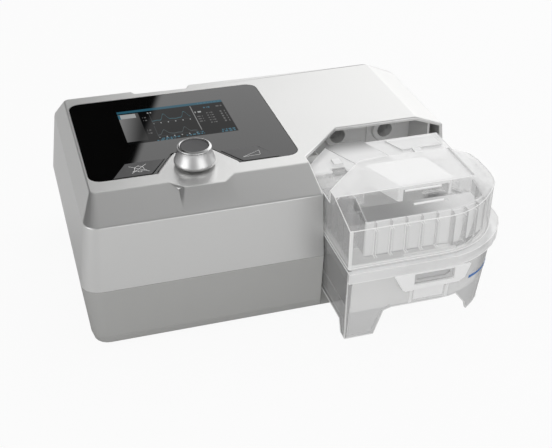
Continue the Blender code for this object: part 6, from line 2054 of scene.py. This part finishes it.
    def plaque(self, name: str, across: Flat, heights: Flat, proud: float, finish: Material,
               slot: Slot) -> None:
        """Raise a small upright plate on the tub's front.

        Args:
            name: its name.
            across: its left and right side.
            heights: its foot and top.
            proud: how far it stands out.
            finish: its material.
            slot: the record's slot.
        """
        (left, right), (low, high) = across, heights
        outline = [PLACES.at(x, self.face_y(z), z)
                   for x, z in ((left, low), (right, low), (right, high), (left, high))]
        self.plate(name, outline, Vector((0, -proud, 0)), finish, slot)

    def front(self) -> None:
        """Put the white field and its two clear posts on the tub's front."""
        self.plaque("front_patch", *self.patch, self.patch_proud, self.finishes.white, Slot.WHITE)
        for number, x in enumerate(self.posts, 1):
            self.plaque(f"patch_post_{number}", about(x, self.post_half), self.post_span,
                        self.post_proud, self.finishes.pale_clear_and_highlights, Slot.CLEAR)

    def corner(self) -> None:
        """Make the bright bar down the tub's front left leg, a painted highlight on that corner, which
        leans as the leg does.
        """
        lift, drop = self.post_ends
        lower, upper = (self.corner_outline(height) for height in
                        (self.plan.tub_low + lift, self.plan.flange - drop))
        rise = Vector((0, 0, self.rough_height))
        piece = Bench.slab("tub_corner_highlight", lower, rise, [self.finishes.pale_clear_and_highlights])
        for vertex in piece.data.vertices:
            if vertex.co.z > lower[0].z + rise.z / 2:
                below = min(lower, key=lambda place: (place.xy - vertex.co.xy).length)
                vertex.co = upper[lower.index(below)]
        Bench.finish(piece, Body.TANK, Slot.CLEAR)

    def corner_outline(self, height: float) -> list[Vector]:
        """The bright bar's four corners at one height."""
        x, y = self.plan.leg_side(height) + self.post_inset, self.face_y(height) + self.post_inset
        right, back = x + self.post, y + self.post_deep
        return [PLACES.at(a, b, height) for a, b in ((x, y), (right, y), (right, back), (x, back))]

    def stripe(self) -> None:
        """Print the plain blue line round the tub's right side."""
        steps = self.stripe_steps
        lower, upper = [], []
        for step in range(steps + 1):
            share = step / steps
            angle, height = (start + (end - start) * share
                             for start, end in zip(self.stripe_from, self.stripe_to))
            half = self.stripe_width / 2 * (1 - self.stripe_narrowing * share)
            lower.append(self.plan.around(angle, height - half, self.stripe_thick))
            upper.append(self.plan.around(angle, height + half, self.stripe_thick))
        Bench.clear()
        bpy.ops.mesh.primitive_grid_add(x_subdivisions=steps, y_subdivisions=1)
        piece = bpy.context.object
        piece.name = "level_stripe"
        for vertex, place in zip(piece.data.vertices, lower + upper):
            vertex.co = place
        self.plan.spread(piece)
        Bench.coat(piece, [self.finishes.blue])
        Bench.modify(piece, "SOLIDIFY", thickness=self.stripe_thick)
        Bench.edit(piece, "FACE")
        Bench.face_outwards()
        Bench.finish(piece, Body.TANK, Slot.CLEAR)

    def build(self) -> None:
        """Make the clear mouldings, then the white pieces and the line."""
        self.tub()
        self.cover()
        self.rear_cells()
        self.chute()
        self.foot_line()
        self.corner()
        crease = sharper(self.crease)
        Bench.soften("pull_handle", "handle_plate", self.finishes.white, self.white_edge, crease,
                     Body.TANK, Slot.WHITE)
        # The catch is painted grey: painted shade in its recess.
        Bench.soften("release_catch", "catch_button", self.finishes.catch, self.catch_edge, crease,
                     Body.CATCH, Slot.WHITE)
        self.front()
        self.stripe()


@dataclass(frozen=True)
class Fittings:
    """What stands on the machine's back: air outlet, filter door, power inlet and card."""

    finishes: Finishes
    edge: float = 0.0004
    crease: float = 50.0

    def build(self) -> None:
        """Make the four fittings with rounded edges."""
        plastic, black = self.finishes.grey, self.finishes.black
        for node, name, finish, body, slot in (
                ("outlet_port", "outlet_spout", plastic, Body.MACHINE, Slot.GREY),
                ("filter_cover", "filter_door", plastic, Body.DOOR, Slot.GREY),
                ("power_inlet", "inlet_shell", black, Body.MACHINE, Slot.BLACK),
                ("memory_card", "card_shell", black, Body.CARD, Slot.BLACK)):
            Bench.soften(node, name, finish, self.edge, sharper(self.crease, 2 * self.edge), body, slot)


@dataclass(frozen=True)
class Lamp:
    """A soft square lamp that faces the machine and that gloss doesn't show."""

    name: str
    place: Point
    size: float
    watts: float

    def hang(self) -> None:
        """Hang the lamp."""
        data = bpy.data.lights.new(self.name, "AREA")
        data.shape, data.size, data.energy = "SQUARE", self.size, self.watts
        lamp = bpy.data.objects.new(self.name, data)
        bpy.context.scene.collection.objects.link(lamp)
        lamp.visible_glossy = False
        lamp.location = self.place
        lamp.rotation_mode = "QUATERNION"
        lamp.rotation_quaternion = (-Vector(self.place)).to_track_quat("-Z", "Y")


@dataclass(frozen=True)
class Studio:
    """The plain stage: a pale floor, soft lamps and the photograph's camera.

    The camera's place is in the machine's own frame.  The world's spans are parts of the direction
    in which a ray goes, from minus one to one.
    """

    camera_place: Point = (-0.02865, -0.47683, 0.39254)
    camera_right: Point = (0.956754, -0.290834, 0.006123)
    camera_down: Point = (-0.150992, -0.51449, -0.844098)
    camera_ahead: Point = (0.248643, 0.80667, -0.536154)
    lens: float = 64.26
    sensor: float = 36.0
    shift: Flat = (-0.00075, -0.0041)
    clip: Flat = (0.01, 100.0)
    floor_size: float = 12.0
    floor_drop: float = 0.0002
    floor_grey: float = 0.62
    floor_white: float = 0.93
    level: float = 0.55
    overhead: float = 0.22
    dark: float = 0.01
    ahead_span: Flat = (-0.1, 0.25)
    softbox_edge: Point = (0.8825, -0.3143, 0.3499)
    softbox_soft: float = 0.004
    softbox_level: float = 1.22
    softbox_top: Flat = (0.58, 0.86)
    softbox_gain: float = 0.35
    softbox_side: Flat = (0.2, 0.8)
    horizon_level: float = 0.55
    horizon_span: Flat = (0.24, 0.38)
    front_level: float = 0.25
    front_span: Flat = (0.3, 0.5)
    lobes: tuple[tuple[Point, float], ...] = (((0.42, -0.89, 0.15), 1.2), ((-0.93, -0.30, 0.20), 1.5))
    lobe_span: Flat = (0.84, 0.99)
    lamps: tuple[Lamp, ...] = (Lamp("key_lamp", (0.7, 0.5, 0.9), 1.4, 6.5),
                               Lamp("front_lamp", (-0.5, -1.3, 0.8), 0.9, 7.0))
    clear_layers: int = 48

    def camera(self) -> None:
        """Stand the camera where the photograph was taken from."""
        data = bpy.data.cameras.new("camera")
        data.lens = self.lens
        data.sensor_width = self.sensor
        data.shift_x, data.shift_y = self.shift
        data.clip_start, data.clip_end = self.clip
        camera = bpy.data.objects.new("camera", data)
        bpy.context.scene.collection.objects.link(camera)
        columns = (Vector(self.camera_right), -Vector(self.camera_down), -Vector(self.camera_ahead))
        turned = Matrix(columns).transposed().to_4x4()
        camera.matrix_world = Matrix.Translation(PLACES.at(*self.camera_place)) @ turned
        bpy.context.scene.camera = camera

    def floor(self) -> None:
        """Lay the floor: nearly white to the eye, grey to other light, with the object's shadow."""
        Bench.clear()
        bpy.ops.mesh.primitive_plane_add(size=self.floor_size, location=(0, 0, -self.floor_drop))
        plane = bpy.context.object
        plane.name = "floor"
        graph = Graph.of_material("floor_white")
        graph.principled(base_color=grey(self.floor_grey), roughness=0.9, specular_ior_level=0.0)
        glow = graph.node("ShaderNodeEmission", inputs={"Color": grey(1.0), "Strength": 1.0})
        path = graph.node("ShaderNodeLightPath")
        graph.mix_shader(Wire(graph, path.outputs["Is Camera Ray"]) * self.floor_white, glow)
        plane.data.materials.append(graph.owner)

    def behind(self, graph: Graph, way: Sequence[Wire]) -> Wire:
        """Work out what gloss sees behind the machine: a big softbox, low and to the right.

        Args:
            graph: the world's graph.
            way: the ray's direction, as x, y and z.

        Returns:
            The strength of the light.
        """
        x, _, z = way
        side = graph.smooth(graph.along(way, self.softbox_edge), *about(0.0, self.softbox_soft))
        low = 1.0 - graph.smooth(z, *self.softbox_top)
        box = self.overhead + (self.softbox_level - self.overhead) * low
        gain = self.softbox_gain * graph.smooth(x, *self.softbox_side) * low
        horizon = self.horizon_level * (1.0 - side) * (1.0 - graph.smooth(z, *self.horizon_span))
        return self.dark + side * (box + gain - self.dark) + horizon

    def before(self, graph: Graph, way: Sequence[Wire]) -> Wire:
        """Work out what gloss sees before the machine: a low glow and two soft lobes.

        Args:
            graph: the world's graph.
            way: the ray's direction, as x, y and z.

        Returns:
            The strength of the light.
        """
        light = self.overhead + self.front_level * (1.0 - graph.smooth(way[2], *self.front_span))
        for direction, level in self.lobes:
            light = light + level * graph.smooth(graph.along(way, direction), *self.lobe_span)
        return light

    def world(self) -> None:
        """Light the scene evenly, and show gloss its softbox, glow and lobes."""
        world = bpy.data.worlds.new("studio")
        graph = Graph(world)
        where = graph.node("ShaderNodeTexCoord").outputs["Generated"]
        way = graph.split(where)
        before = self.before(graph, way)
        gloss = before + graph.smooth(way[1], *self.ahead_span) * (self.behind(graph, way) - before)
        path = graph.node("ShaderNodeLightPath")
        strength = self.level + Wire(graph, path.outputs["Is Glossy Ray"]) * (gloss - self.level)
        strength = strength + Wire(graph, path.outputs["Is Camera Ray"]) * (1.0 - strength)
        background = graph.tree.nodes["Background"]
        graph.feed(background.inputs["Color"], grey(1.0))
        graph.feed(background.inputs["Strength"], strength)
        world.cycles.sampling_method = "NONE"
        bpy.context.scene.world = world

    def build(self) -> None:
        """Set up the whole stage."""
        self.camera()
        self.floor()
        self.world()
        for lamp in self.lamps:
            lamp.hang()
        bpy.context.scene.view_settings.view_transform = "Standard"
        bpy.context.scene.cycles.transparent_max_bounces = self.clear_layers


def main() -> None:
    """Build the scene in order and report each piece."""
    logging.basicConfig(level=logging.INFO, format="%(name)s: %(message)s")
    Studio().build()
    plan = Plan()
    finishes = Finishes(plan)
    dress_frame(finishes)
    log.info("dressed %d packed nodes", len(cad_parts))
    for group in (Housing(finishes), Display(finishes), Knob(finishes), TankLid(finishes, plan),
                  TankBody(finishes, plan), Fittings(finishes)):
        group.build()
        log.info("%s is done", type(group).__name__)


if __name__ == "__main__":
    main()
